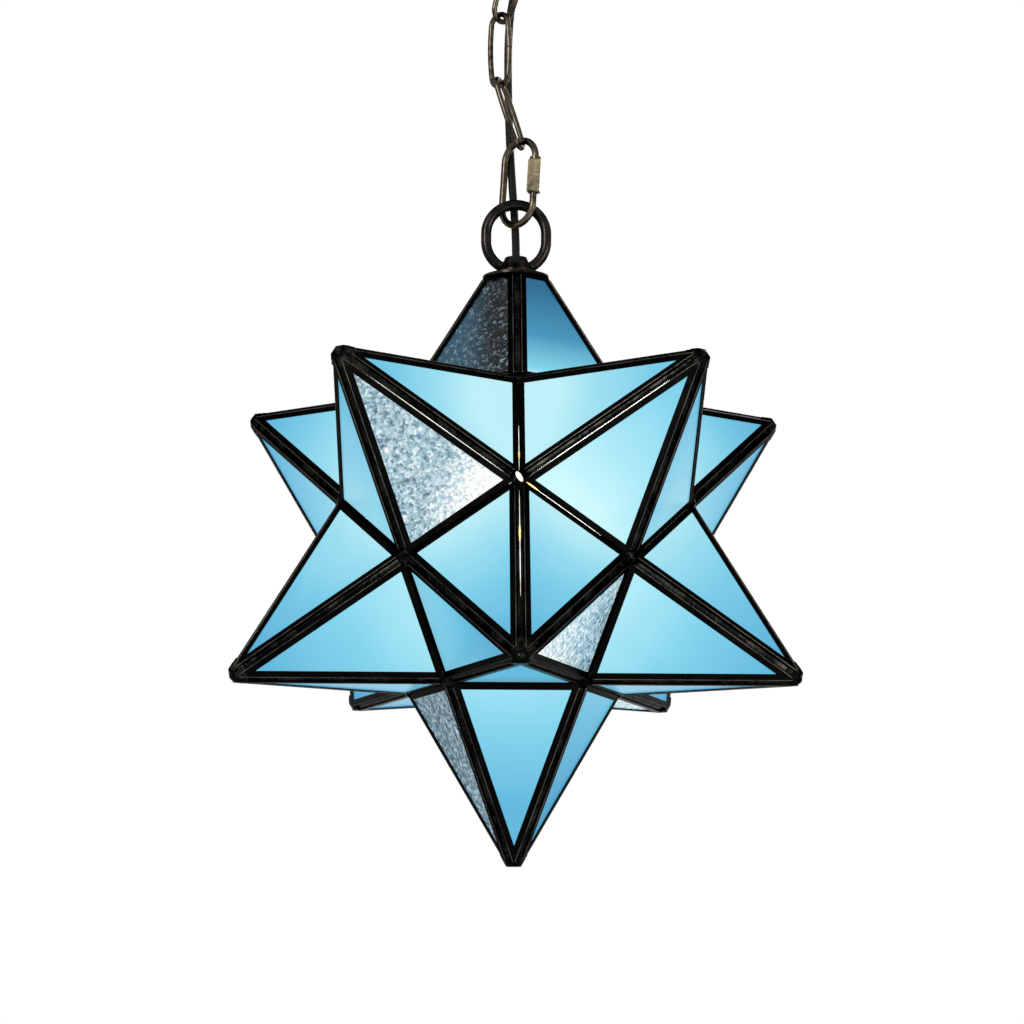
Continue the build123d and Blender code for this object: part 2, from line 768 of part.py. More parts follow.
with BuildPart() as collar:
    with BuildSketch(Plane.XY.offset(collar_bottom)):
        Circle(bulb_collar_radius)
    extrude(amount=bulb_collar_length)
    chamfer(collar.edges().sort_by(Axis.Z)[-1], length=bulb_collar_chamfer)
    for groove in range(1, 4):
        with BuildSketch(Plane.XY.offset(collar_bottom + 2 * groove * bulb_groove_width)):
            Circle(bulb_collar_radius)
            Circle(bulb_collar_radius - bulb_groove_depth, mode=Mode.SUBTRACT)
        extrude(amount=bulb_groove_width, mode=Mode.SUBTRACT)
save(collar, "bulb_collar")
column_bottom = collar_bottom - bulb_column_length
tube(0, bulb_column_radius, column_bottom, collar_bottom, "bulb_led_column")
with BuildPart() as cover:
    with BuildSketch(Plane.XY.offset(collar_bottom)):
        Circle(bulb_cover_radius)
    extrude(amount=-bulb_cover_length)
    fillet(cover.edges().sort_by(Axis.Z)[0], radius=bulb_cover_round)
    offset(amount=-bulb_cover_wall, openings=cover.faces().sort_by(Axis.Z)[-1])
save(cover, "bulb_cover")
say_joint("bulb_turn", (0, 0, base_bottom), (0, 0, 1))

# Supply cord: from the canopy down behind the chain, into the star's loop and its nipple
cord_points = [
    (0.0, 0.0, -16.0),
    (0.0, 0.2, -30.0),
    (1.0, 3.6, -52.0),
    (2.2, 8.0, -66.0),
    (-1.0, 11.0, -88.0),
    (-3.8, 11.8, -112.0),
    (-4.2, 12.4, -138.0),
    (-3.4, 12.2, -162.0),
    (-2.6, 10.2, -184.0),
    (-1.2, 8.0, -208.0),
    (-0.2, 6.0, -226.0),
    (0.0, 0.6, -244.0),
    (0.0, 0.0, -259.0),
    (0.0, 0.15, -273.0),
]


def bend_radius(before, corner, after):
    """Largest arc that the two runs at a corner leave room for."""
    one, two = Vector(*corner) - Vector(*before), Vector(*after) - Vector(*corner)
    return cord_bend_share * min(one.length, two.length) / tan(radians(one.get_angle(two)) / 2)


cord_bends = [bend_radius(*three) for three in zip(cord_points, cord_points[1:], cord_points[2:])]
with BuildPart() as cord:
    with BuildLine() as cord_line:
        FilletPolyline(*cord_points, radius=cord_bends)
    with BuildSketch(Plane(origin=cord_line.line @ 0, z_dir=cord_line.line % 0)):
        Circle(cord_radius)
    sweep(path=cord_line.line)
save(cord, "supply_cord")
print("cord bend radii", [round(radius, 1) for radius in cord_bends])
cord_length = cord_line.wire().length
cord_share = cord.part.volume / (pi * cord_radius**2 * cord_length)
print("cord length", round(cord_length, 1), "volume share", round(cord_share, 4))
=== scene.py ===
"""Star pendant light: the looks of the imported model, laid out as an add-on and run as a script."""

from math import atan, cos, pi, radians, sin, sqrt

import bpy
from bpy.props import FloatProperty, FloatVectorProperty, IntProperty, PointerProperty
from mathutils import Matrix, Vector


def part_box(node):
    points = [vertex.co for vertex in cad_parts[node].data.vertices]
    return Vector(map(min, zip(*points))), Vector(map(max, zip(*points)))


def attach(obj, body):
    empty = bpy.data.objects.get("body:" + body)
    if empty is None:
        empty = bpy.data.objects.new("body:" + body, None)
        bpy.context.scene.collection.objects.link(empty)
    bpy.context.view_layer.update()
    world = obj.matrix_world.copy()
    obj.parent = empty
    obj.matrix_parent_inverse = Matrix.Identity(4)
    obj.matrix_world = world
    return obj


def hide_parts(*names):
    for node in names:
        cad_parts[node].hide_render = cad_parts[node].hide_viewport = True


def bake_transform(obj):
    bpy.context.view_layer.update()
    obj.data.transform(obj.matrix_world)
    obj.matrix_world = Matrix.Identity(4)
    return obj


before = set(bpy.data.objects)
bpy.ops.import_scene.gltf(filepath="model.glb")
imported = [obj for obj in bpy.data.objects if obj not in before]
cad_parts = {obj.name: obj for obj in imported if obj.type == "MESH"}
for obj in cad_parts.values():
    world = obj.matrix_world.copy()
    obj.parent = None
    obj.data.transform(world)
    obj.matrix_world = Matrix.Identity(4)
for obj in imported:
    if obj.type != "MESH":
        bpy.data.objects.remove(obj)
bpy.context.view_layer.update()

bl_info = {
    "name": "Star pendant light",
    "version": (1, 0, 0),
    "blender": (4, 5, 0),
    "location": "3D View > Sidebar > Star pendant",
    "description": "Dresses the star pendant light: leaded glass star, slack chain, cord and LED lamp",
    "category": "Object",
}

# Points of the star above and below its middle: azimuth from the front in degrees
UPPER_POINTS = {"upper_front_left": -36, "upper_front_right": 36, "upper_left": -108, "upper_right": 108,
                "door": 180}
LOWER_POINTS = {"lower_front": 0, "lower_front_left": -72, "lower_front_right": 72,
                "lower_back_left": -144, "lower_back_right": 144}
POINT_SLOPE = atan(0.5)
GOLDEN = (1 + sqrt(5)) / 2
# The cosine between the directions of two points is above this for neighbours only
NEIGHBOUR_COSINE = 0.4

# The cord's route from the canopy's nipple to the star's nipple, in metres
CORD_ROUTE = [
    (0, 0, -0.016), (0, 0.0002, -0.030), (0.001, 0.0036, -0.052), (0.0022, 0.0080, -0.066),
    (-0.0036, 0.0116, -0.088), (-0.0050, 0.0120, -0.112), (-0.0048, 0.0124, -0.138),
    (-0.0041, 0.0122, -0.162), (-0.0030, 0.0104, -0.184), (-0.0014, 0.0082, -0.208),
    (-0.0002, 0.0061, -0.226), (0, 0.0006, -0.244), (0, 0, -0.259), (0, 0.00015, -0.273),
]
# Each stretch of the cord: its name, the height where it ends, the two bodies it bends between, and the
# heights where that bend starts and ends; the bodies and the heights of the bend are not used here
CORD_STRETCHES = [
    ("cord_at_canopy", -0.085, "ceiling_mount", "upper_link", -0.055, -0.075),
    ("cord_at_upper_link", -0.120, "upper_link", "middle_link", -0.093, -0.108),
    ("cord_at_middle_link", -0.158, "middle_link", "lower_link", -0.132, -0.148),
    ("cord_at_lower_link", -0.195, "lower_link", "quick_link", -0.168, -0.186),
    ("cord_at_star", -0.273, "quick_link", "star", -0.202, -0.218),
]

# Sizes, gaps, steps and roundings that a user has no need to change, in metres
WELD_GAP = 0.000002
SPIN_GAP = 0.00001
CORD_POINT_GAP = 0.0004
BAR_STEP = 0.0018
TOP_END_GAP = 0.0004
CORNER_SINK = 0.0016
TIP_START = 0.0002
TIP_SKIN = 0.0001
TIP_ROUNDING = 0.0012
COLLAR_WALL = 0.004
COLLAR_CORNER = 0.0009
FIN_CORNER = 0.0004
FIN_WIDTH = 0.0026
CHIP_ROUNDING = 0.00025
# How far solder wanders that was run by hand, and the length of one wave along it, in metres
SEAM_WAVE = (0.0002, 0.004)
TIP_WAVE = (0.0004, 0.0025)
CORNER_WAVE = (0.0012, 0.003)
# Flatness of the solder at the corners, width of a dome's top against its foot, and the share of the
# collar's height above its first groove
CORNER_FLATNESS = 0.45
DOME_TOP = 0.45
FIRST_GROOVE = 0.52
# Edges sharper than this are rounded on the frames and stay sharp on turned pieces, and at the cord's ends
SHARP_EDGE = radians(35)
CORD_END_EDGE = radians(50)

# The camera's shift up and to the left of the line to the star's centre, in metres
CAMERA_RISE = 0.01797
CAMERA_LEFT = 0.00172
# Square soft lights: place and side in metres, power in watts
LIGHTS = {
    "key": ((-1.1, -1.5, 0.35), 0.7, 22),
    "fill": ((1.3, -1.2, -0.35), 0.8, 13),
    "under": ((0.25, -0.9, -1.0), 1.0, 5),
    "back": ((0.5, 1.5, 0.3), 0.9, 18),
}
WHITE = (1, 1, 1, 1)
# Strength of the white that is seen, and of the light that it gives
SEEN_WHITE = 1.0
ROOM_LIGHT = 0.45

# Where the lamp seems to be behind the blue and the clear glass, from the star's centre, in metres
BLUE_LAMP = Vector((0, -0.015, 0.025))
CLEAR_LAMP = Vector((0.015, -0.035, 0.030))
GLASS_IOR = 1.52
POLYCARBONATE_IOR = 1.58

# A stained metal reflects less at grazing angles than clean metal does
STAINED_RIM = (0.45, 0.45, 0.45, 1)
# Finishes with soft patches of two colours and fine grit. patch and grit are sizes and relief is a depth, in
# metres, rough is the least and the most roughness, and balance is the level where dark turns to light. The
# real grit is finer: it is drawn as coarse as it needs to be to show.
PLAIN_FINISH = dict(balance=0.5, coat=0.0, glow=0.0, specular=0.5, rim=WHITE)
FINISHES = {
    # PVC sheath, extruded: smooth and black, with dull rub marks along it
    "black_pvc_sheath": dict(
        light="cord_grey", dark="cord_black", patch=0.011, grit=0.0012, rough=(0.5, 0.65), metallic=0.0,
        relief=0.00005, balance=0.56, specular=0.12),
    # Zinc came under black patina: a chemical stain, near black and satin, browner where it is rubbed
    "black_patina_came": dict(
        light="patina_worn", dark="patina_dark", patch=0.014, grit=0.0013, rough=(0.2, 0.34),
        metallic=1.0, relief=0.00003, balance=0.56, rim=STAINED_RIM),
    # Tin and lead solder, run by hand and blackened: rounded, a little lumpy, with tin shining through
    "blackened_solder": dict(
        light="solder_shine", dark="patina_dark", patch=0.012, grit=0.002, rough=(0.14, 0.24),
        metallic=1.0, relief=0.00002, balance=0.58, rim=STAINED_RIM),
    # The came's lighter edges: partly where hands and cloths rub them, so the stain is thinner and the metal
    # shows, partly a painted highlight along the channels' edges
    "rubbed_came_edge": dict(
        light="edge_shine", dark="edge_dull", patch=0.02, grit=0.0016, rough=(0.16, 0.28), metallic=1.0,
        relief=0.00002, rim=STAINED_RIM),
    # Painted highlights on the front seams' solder, with the white of the room and some painted lamplight
    "wiped_tin_seam": dict(
        light="seam_highlight_white", dark="seam_lamplight_gold", patch=0.012, grit=0.002, rough=(0.1, 0.2), metallic=1.0,
        relief=0.00001, balance=0.4, glow=0.6),
    # The same seam where the lamp shines through it: gold, a painted glow of lamplight
    "lamplit_tin_seam": dict(
        light="tin_glint", dark="seam_lamplight_gold", patch=0.004, grit=0.001, rough=(0.15, 0.25), metallic=1.0,
        relief=0.00001, glow=0.9),
    # Drawn brass tube under the came's patina: browner than the frames where fingers rub it
    "patinated_hinge_tube": dict(
        light="bronze_light", dark="patina_dark", patch=0.006, grit=0.0009, rough=(0.25, 0.45),
        metallic=0.85, relief=0.00005),
    # Steel wire with an antique brass plate: brown stain left in patches, rubbed bright between
    "antique_brass_plate": dict(
        light="brass_light", dark="brass_dark", patch=0.014, grit=0.003, rough=(0.14, 0.24), metallic=1.0,
        relief=0.00001, balance=0.48, rim=STAINED_RIM),
    # The same plate on the nut, lighter: partly rubbed by fingers, partly a painted sheen on its lit flat
    "handled_brass_plate": dict(
        light="nut_sheen_brass", dark="brass_dark", patch=0.012, grit=0.0009, rough=(0.14, 0.24),
        metallic=1.0, relief=0.00001, balance=0.44, rim=STAINED_RIM),
    # Cast zinc with a dark bronze coat: satin, almost black, brown where it is rubbed
    "dark_bronze_coat": dict(
        light="bronze_light", dark="bronze_dark", patch=0.009, grit=0.0011, rough=(0.16, 0.28),
        metallic=0.95, relief=0.00003, balance=0.54, rim=STAINED_RIM),
    # Pressed steel with bright zinc plate: pale, with a fine grain from the rolling
    "zinc_plated_steel": dict(
        light="zinc_light", dark="zinc_dark", patch=0.006, grit=0.0007, rough=(0.24, 0.4), metallic=1.0,
        relief=0.00004),
    # Phenolic, compression moulded: deep black with brown flow marks
    "moulded_phenolic": dict(
        light="phenolic_light", dark="phenolic_dark", patch=0.012, grit=0.001, rough=(0.28, 0.45),
        metallic=0.0, relief=0.00004, balance=0.58),
    # Brass strip, pressed and a little tarnished
    "pressed_brass": dict(
        light="brass_contact", dark="brass_tarnish", patch=0.005, grit=0.0007, rough=(0.2, 0.38),
        metallic=1.0, relief=0.00004),
    # Aluminium shell, rolled: bright, with a fine turned grain
    "rolled_aluminium": dict(
        light="alloy_light", dark="alloy_dark", patch=0.006, grit=0.0006, rough=(0.18, 0.34),
        metallic=1.0, relief=0.00003),
    # Aluminium look on plastic: a pink lacquer over a bright metal coat
    "pink_metallic_lacquer": dict(
        light="collar_pink", dark="collar_dark", patch=0.02, grit=0.001, rough=(0.16, 0.3), metallic=0.85,
        relief=0.00002, balance=0.42, coat=0.5),
    # White solder mask on the LED board: even and satin, with a painted glow for the LEDs' light on it
    "white_solder_mask": dict(
        light="board_white", dark="board_grey", patch=0.012, grit=0.0008, rough=(0.35, 0.5), metallic=0.0,
        relief=0.00003, balance=0.42, glow=0.5),
    # Phenolic disc round the lamp's tip contact: black and dull
    "moulded_insulator": dict(
        light="phenolic_light", dark="phenolic_dark", patch=0.006, grit=0.0008, rough=(0.3, 0.45),
        metallic=0.0, relief=0.00003),
    # Studio paper: pale, dull and almost even
    "pale_studio_paper": dict(
        light="floor_pale", dark="floor_shade", patch=0.4, grit=0.02, rough=(0.7, 0.8), metallic=0.0,
        relief=0.0001),
}


def linear(hex_colour):
    """Linear RGBA of an sRGB hex colour."""
    parts = [int(hex_colour[i:i + 2], 16) / 255 for i in (1, 3, 5)]
    return tuple(c / 12.92 if c <= 0.04045 else ((c + 0.055) / 1.055) ** 2.4 for c in parts) + (1.0,)


def length_prop(name, description, default):
    """A length in metres that a user may change."""
    return FloatProperty(name=name, description=description, default=default, min=0, unit="LENGTH",
                         precision=5)


def angle_prop(name, description, degrees):
    """An angle that a user may change."""
    return FloatProperty(name=name, description=description, default=radians(degrees), unit="ROTATION")


def count_prop(name, description, default, least):
    """A number of like things that a user may change."""
    return IntProperty(name=name, description=description, default=default, min=least)


def colour_prop(name, description, hex_colour):
    """A colour that a user may change."""
    return FloatVectorProperty(name=name, description=description, subtype="COLOR", size=4, min=0, max=1,
                               default=linear(hex_colour))


class StarSizes(bpy.types.PropertyGroup):
    """Sizes of the leaded glass star."""

    top_height: length_prop("Top cut", "How far below its sharp tip the top point is cut off", 0.0332)
    frame_round: length_prop("Frame edge", "Rounding of the channel frames' edges", 0.0002)
    bead_half_width: length_prop("Bead half width", "Half the width of a ridge's solder bead", 0.00195)
    bead_half_height: length_prop("Bead half height", "Half the height of a ridge's solder bead", 0.0006)
    bead_sink: length_prop("Bead depth", "Depth of a bead's centre below the ridge line", 0.0024)
    bead_start: length_prop("Bead start", "Distance from a ridge's foot to its bead", 0.003)
    door_bead_start: length_prop("Door bead start", "The same on the hinged point, which needs room", 0.005)
    bead_end: length_prop("Bead end", "Distance from a point's tip to its beads", 0.0133)
    bead_wave: length_prop("Bead waviness", "How far the hand-run solder wanders", 0.0003)
    bead_wave_size: length_prop("Bead wave length", "Length of one wave along the solder", 0.006)
    # The channels' lighter edges along the ridges: partly rubbed wear, partly painted highlight lines
    edge_half_width: length_prop("Edge half width", "Half the width of a channel's rubbed edge", 0.00026)
    edge_reach: length_prop("Edge reach", "Distance of a channel's edge from the ridge's middle", 0.00235)
    edge_end: length_prop("Edge end", "Distance from a point's tip to its rubbed edges", 0.0102)
    edge_sink: length_prop("Edge depth", "Depth of a channel's edge below the ridge line", 0.0015)
    tip_height: length_prop("Tip solder", "Length of the solder over a blunt tip", 0.0072)
    tip_dome: length_prop("Tip dome", "Rise of the rounded end on a tip", 0.0014)
    tip_grid: length_prop("Tip grid", "Size of one face in the tip solder", 0.0005)
    # Painted highlights and painted lamplight round the front corner: seams, edge lines, glints and a drop
    seam_half_width: length_prop("Seam half width", "Half the width of a wiped seam", 0.00026)
    highlight_edge_half_width: length_prop("Wiped edge", "Half the width of a ridge's wiped edge", 0.0002)
    highlight_edge_reach: length_prop("Wiped edge reach", "From the ridge's middle to a wiped edge", 0.0022)
    seam_half_height: length_prop("Seam half height", "Half the height of a wiped seam", 0.0004)
    glint_half_width: length_prop("Glint half width", "Half the width of a glint on a wiped seam", 0.00055)
    valley_sink: length_prop("Valley seam depth", "Depth of a wiped seam in a valley", 0.0003)
    ridge_sink: length_prop("Ridge seam depth", "Depth of a wiped seam on a ridge", 0.0018)
    glint_rise: length_prop("Glint rise", "How much higher a glint is than its seam in a valley", 0.0005)
    drop_length: length_prop("Drop length", "Half the length of the drop on the front corner", 0.0031)
    drop_half_width: length_prop("Drop width", "Half the width of the drop on the front corner", 0.0014)
    drop_rise: length_prop("Drop rise", "Height of the drop above the front corner", 0.001)
    blob_radius: length_prop("Corner solder", "Radius of the solder where valleys and ridges meet", 0.0043)
    door_blob_sink: length_prop("Door corner depth", "Depth of the solder round the hinged point", 0.003)
    hammer_depth: length_prop("Hammer depth", "Depth of the dimples in the clear glass", 0.0007)
    hammer_size: length_prop("Hammer size", "Spacing of the dimples in the clear glass", 0.0042)
    hammer_grid: length_prop("Hammer grid", "Size of one face in the clear glass", 0.0011)


class CordSizes(bpy.types.PropertyGroup):
    """Sizes of the supply cord."""

    cord_diameter: length_prop("Cord", "Diameter of the supply cord", 0.0046)
    cord_sides: count_prop("Cord sides", "Faces round the cord", 20, 6)


class BulbSizes(bpy.types.PropertyGroup):
    """Sizes of the LED lamp."""

    chip_width: length_prop("LED width", "Width of one LED", 0.0028)
    chip_height: length_prop("LED height", "Height of one LED above the column", 0.0008)
    chips_round: count_prop("LEDs in a row", "LEDs round the column", 10, 1)
    chip_rows: count_prop("LED rows", "Rows of LEDs along the column", 6, 1)
    fin_depth: length_prop("Fin depth", "Depth of the grooves between the collar's fins", 0.0022)
    fin_gap: length_prop("Fin gap", "Width of the grooves between the collar's fins", 0.0016)


class FinishColours(bpy.types.PropertyGroup):
    """Colours of the materials."""

    # The blue glass's glow is painted into its emission colour: painted lamplight, palest nearest the lamp
    glow_core: colour_prop("Glow at the core", "Blue glass nearest the lamp", "#ecf7ec")
    glow_near: colour_prop("Glow near", "Blue glass a little further out", "#c0e4e5")
    glow_middle: colour_prop("Glow middle", "Blue glass half way out", "#97d1dc")
    glow_tip: colour_prop("Glow at the tips", "Blue glass furthest from the lamp", "#72b5cd")
    # Painted shade on the top point, where the lampholder stands between it and the lamp
    top_painted_glow: colour_prop("Top point, low", "Blue glass at the foot of the top point", "#a5dddf")
    top_painted_half_shade: colour_prop("Top point, middle", "Blue glass beside the lampholder", "#5999b2")
    top_painted_shade: colour_prop("Top point, high", "Blue glass above the lampholder", "#396d89")
    glass_body: colour_prop("Blue glass body", "Blue glass without the lamp", "#06141c")
    glass_depth: colour_prop("Blue glass depth", "What one thickness of blue glass lets through", "#c6e1ed")
    # The clear glass's look is painted into its emission colour: painted lamplight and flakes of what it
    # shows
    clear_painted_lamplight: colour_prop("Clear glass white", "Clear glass where it shows the lamp", "#fbfcf8")
    clear_pale: colour_prop("Clear glass pale", "Bright flakes in the clear glass", "#c3d9e1")
    clear_grey: colour_prop("Clear glass grey", "Clear glass between its flakes", "#a0bcc7")
    clear_sky: colour_prop("Clear glass blue", "Blue that the clear glass picks up", "#9fcfe8")
    clear_warm: colour_prop("Clear glass warm", "Warm grey in the clear glass", "#b9b2ad")
    clear_deep: colour_prop("Clear glass dark", "Dark flakes in the clear glass", "#66818f")
    clear_shadow: colour_prop("Clear glass shadow", "Darkest flakes in the clear glass", "#25343d")
    # Painted shade where the lampholder stands between the clear glass and the lamp
    clear_painted_shade: colour_prop("Clear glass in shade", "Clear glass that shows the lampholder", "#080c0d")
    clear_painted_shade_blue: colour_prop("Clear glass blue shade", "Clear glass that shows blue panes", "#2a4d60")
    clear_body: colour_prop("Clear glass body", "Clear glass without what shows in it", "#090c0e")
    patina_dark: colour_prop("Patina", "Black patina on the frames", "#060606")
    patina_worn: colour_prop("Worn patina", "Patina where it is rubbed", "#100f0e")
    # Lighter metal along the ridges: partly rubbed wear, partly a painted highlight line
    edge_shine: colour_prop("Rubbed edge", "Metal that shows along the ridges", "#5d5850")
    edge_dull: colour_prop("Dull edge", "Stained metal along the ridges", "#1f1d1b")
    # Painted highlights and painted lamplight on the front seams
    seam_highlight_white: colour_prop("Wiped tin", "Bright tin where a seam was wiped", "#ffffff")
    seam_lamplight_gold: colour_prop("Wiped tin, gold", "Lamplight on the wiped tin", "#c9a13c")
    tin_glint: colour_prop("Wiped tin, glint", "Lamplight through a seam", "#ffe9a0")
    solder_shine: colour_prop("Solder", "Tin that shows through the patina", "#2c2a27")
    brass_light: colour_prop("Brass", "Rubbed brass of the chain", "#564e41")
    # Lighter brass of the nut: partly rubbed wear, partly a painted sheen
    nut_sheen_brass: colour_prop("Handled brass", "Brass of the nut, rubbed bright", "#9c8f74")
    brass_dark: colour_prop("Brass patina", "Brown patina on the brass", "#1c1914")
    bronze_light: colour_prop("Bronze", "Rubbed dark bronze", "#2f2b27")
    bronze_dark: colour_prop("Bronze patina", "Dark bronze coat", "#121110")
    cord_black: colour_prop("Cord", "PVC of the cord", "#070707")
    cord_grey: colour_prop("Cord rub marks", "Dull marks on the cord", "#121211")
    zinc_light: colour_prop("Zinc", "Bright zinc plate", "#c9cacb")
    zinc_dark: colour_prop("Zinc grain", "Darker grain of the zinc plate", "#8f9394")
    phenolic_dark: colour_prop("Phenolic", "Black moulded phenolic", "#0f0e0e")
    phenolic_light: colour_prop("Phenolic flow", "Brown flow marks in the phenolic", "#221d1a")
    brass_contact: colour_prop("Contact brass", "Pressed brass of the lampholder", "#c79c4f")
    brass_tarnish: colour_prop("Contact tarnish", "Tarnish on the pressed brass", "#8a6a33")
    alloy_light: colour_prop("Lamp base", "Rolled aluminium", "#d3d4d5")
    alloy_dark: colour_prop("Lamp base grain", "Darker grain of the aluminium", "#a2a5a8")
    collar_pink: colour_prop("Collar", "Pink metallic collar", "#d02a5c")
    collar_dark: colour_prop("Collar shade", "Darker band of the collar", "#8f1240")
    # The board's colours are also its painted glow
    board_white: colour_prop("LED board", "White board of the LED column", "#d9dbe6")
    board_grey: colour_prop("LED board shade", "Grey of the board", "#b4b7c6")
    chip_yellow: colour_prop("LED phosphor", "Yellow phosphor of the LEDs", "#f2ee5a")
    chip_amber: colour_prop("LED phosphor edge", "Amber edge of the phosphor", "#e8c84a")
    cover_clear: colour_prop("Lamp cover", "Clear moulded cover", "#eef3f4")
    floor_pale: colour_prop("Floor", "Pale floor of the studio", "#efefed")
    floor_shade: colour_prop("Floor shade", "Darker patches of the floor", "#ebebe9")


class StageSettings(bpy.types.PropertyGroup):
    """Camera and floor."""

    lens: FloatProperty(name="Lens", description="Focal length on a 36 mm sensor", default=85.4, min=1,
                        unit="CAMERA")
    camera_tilt: angle_prop("Camera tilt", "Angle by which the camera looks up", 9.5)
    camera_swing: angle_prop("Camera swing", "Angle by which the camera stands to one side", -1.1)
    camera_roll: angle_prop("Camera roll", "Angle by which the camera leans", 0.25)
    camera_distance: length_prop("Camera distance", "From the star's centre, along the view", 1.3487)
    floor_drop: length_prop("Floor drop", "Floor below the ceiling", 1.1)
    floor_size: length_prop("Floor size", "Side of the floor", 7.0)


def star_points():
    """Direction of each point of the star, by name."""
    found = {"top": Vector((0, 0, 1)), "bottom": Vector((0, 0, -1))}
    for names, height in ((UPPER_POINTS, 1), (LOWER_POINTS, -1)):
        for name, azimuth in names.items():
            flat = cos(POINT_SLOPE)
            turn = radians(azimuth)
            found[name] = Vector((sin(turn) * flat, -cos(turn) * flat, height * sin(POINT_SLOPE)))
    return found


# The star's own lengths in metres and the slopes of its ridges, worked out from the edge of its valleys
POINTS = star_points()
VALLEY_EDGE = 0.074
TIP_CUT = 0.007
TIP_RADIUS = VALLEY_EDGE * (sqrt((25 + 11 * sqrt(5)) / 10) / 2 + sqrt((5 + 2 * sqrt(5)) / 5))
CORE_RADIUS = VALLEY_EDGE * sqrt(3) * GOLDEN / 2
RIDGE_LENGTH = GOLDEN * VALLEY_EDGE
FOOT_COSINE = sqrt((5 + 2 * sqrt(5)) / 15)
RIDGE_COSINE = (TIP_RADIUS - CORE_RADIUS * FOOT_COSINE) / RIDGE_LENGTH
RIDGE_SPREAD = sqrt(1 - RIDGE_COSINE ** 2) / RIDGE_COSINE
STAR_CENTRE = Vector((0, 0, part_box("bottom_point_frame")[0].z + TIP_RADIUS - TIP_CUT))


def share_valley(one, two):
    """True for two points that are neighbours."""
    return one != two and POINTS[one].dot(POINTS[two]) > NEIGHBOUR_COSINE


def ridge_pairs(name):
    """The pairs of neighbours that meet at the foot of each of this point's ridges."""
    beside = [other for other in POINTS if share_valley(name, other)]
    return [(one, two) for i, one in enumerate(beside) for two in beside[i + 1:] if share_valley(one, two)]


def corner_direction(*names):
    """Direction of the corner where three points meet."""
    return sum((POINTS[name] for name in names), Vector()).normalized()


def body_of_point(name):
    """The hinged point rides on its own body."""
    return "door" if name == "door" else "star"


def put(tree, kind, values=None, links=None, stops=None, **settings):
    """Add one shader node with its settings, socket values, links and colour stops. A link starts at a
    socket, or at the first output that a node has in use."""
    made = tree.nodes.new(kind)
    for key, value in settings.items():
        setattr(made, key, value)
    for socket, value in (values or {}).items():
        made.inputs[socket].default_value = value
    for socket, source in (links or {}).items():
        if isinstance(source, bpy.types.Node):
            source = next(output for output in source.outputs if output.enabled)
        tree.links.new(source, made.inputs[socket])
    for i, (place, colour) in enumerate(stops or []):
        ramp = made.color_ramp.elements
        stop = ramp[i] if i < 2 else ramp.new(place)
        stop.position = place
        stop.color = colour
    return made


def start_material(name):
    """A material with an empty node tree, and the Object coordinates that its patterns read."""
    material = bpy.data.materials.new(name)
    material.use_nodes = True
    tree = material.node_tree
    tree.nodes.clear()
    return material, tree, put(tree, "ShaderNodeTexCoord").outputs["Object"]


def end_material(tree, surface):
    """Link a shader to the material's output."""
    put(tree, "ShaderNodeOutputMaterial", links={"Surface": surface})


def finish(colours, name):
    """A material from the table of finishes."""
    look = {**PLAIN_FINISH, **FINISHES[name]}
    least, most = look["rough"]
    grit_share = 0.3
    material, tree, place = start_material(name)
    patches = put(tree, "ShaderNodeTexNoise", {"Scale": 1 / look["patch"], "Detail": 4.0, "Roughness": 0.6},
                  {"Vector": place})
    fine = put(tree, "ShaderNodeTexNoise", {"Scale": 1 / look["grit"], "Detail": 3.0, "Roughness": 0.55},
               {"Vector": place})
    grit = put(tree, "ShaderNodeMath", {1: grit_share}, {0: fine}, operation="MULTIPLY")
    both = put(tree, "ShaderNodeMath", {1: 1 - grit_share}, {0: patches, 2: grit}, operation="MULTIPLY_ADD")
    colour = put(tree, "ShaderNodeValToRGB", links={"Fac": both},
                 stops=[(look["balance"] - 0.12, getattr(colours, look["dark"])),
                        (look["balance"] + 0.14, getattr(colours, look["light"]))])
    dull = put(tree, "ShaderNodeMapRange",
               {"From Min": 0.3, "From Max": 0.7, "To Min": least, "To Max": most}, {"Value": both})
    relief = put(tree, "ShaderNodeBump", {"Strength": 0.6, "Distance": look["relief"]}, {"Height": both})
    surface = put(tree, "ShaderNodeBsdfPrincipled",
                  {"Metallic": look["metallic"], "Coat Weight": look["coat"],
                   "Emission Strength": look["glow"], "Specular IOR Level": look["specular"],
                   "Specular Tint": look["rim"]},
                  {"Base Color": colour, "Roughness": dull, "Normal": relief, "Emission Color": colour})
    end_material(tree, surface)
    return material


def from_lamp(tree, place, lamp):
    """Distance of a spot from where the lamp seems to be, and how far it is beside and above that."""
    shifted = put(tree, "ShaderNodeMapping", {"Location": tuple(-(STAR_CENTRE + lamp))}, {"Vector": place})
    distance = put(tree, "ShaderNodeVectorMath", links={0: shifted}, operation="LENGTH")
    return distance, put(tree, "ShaderNodeSeparateXYZ", links={"Vector": shifted}).outputs


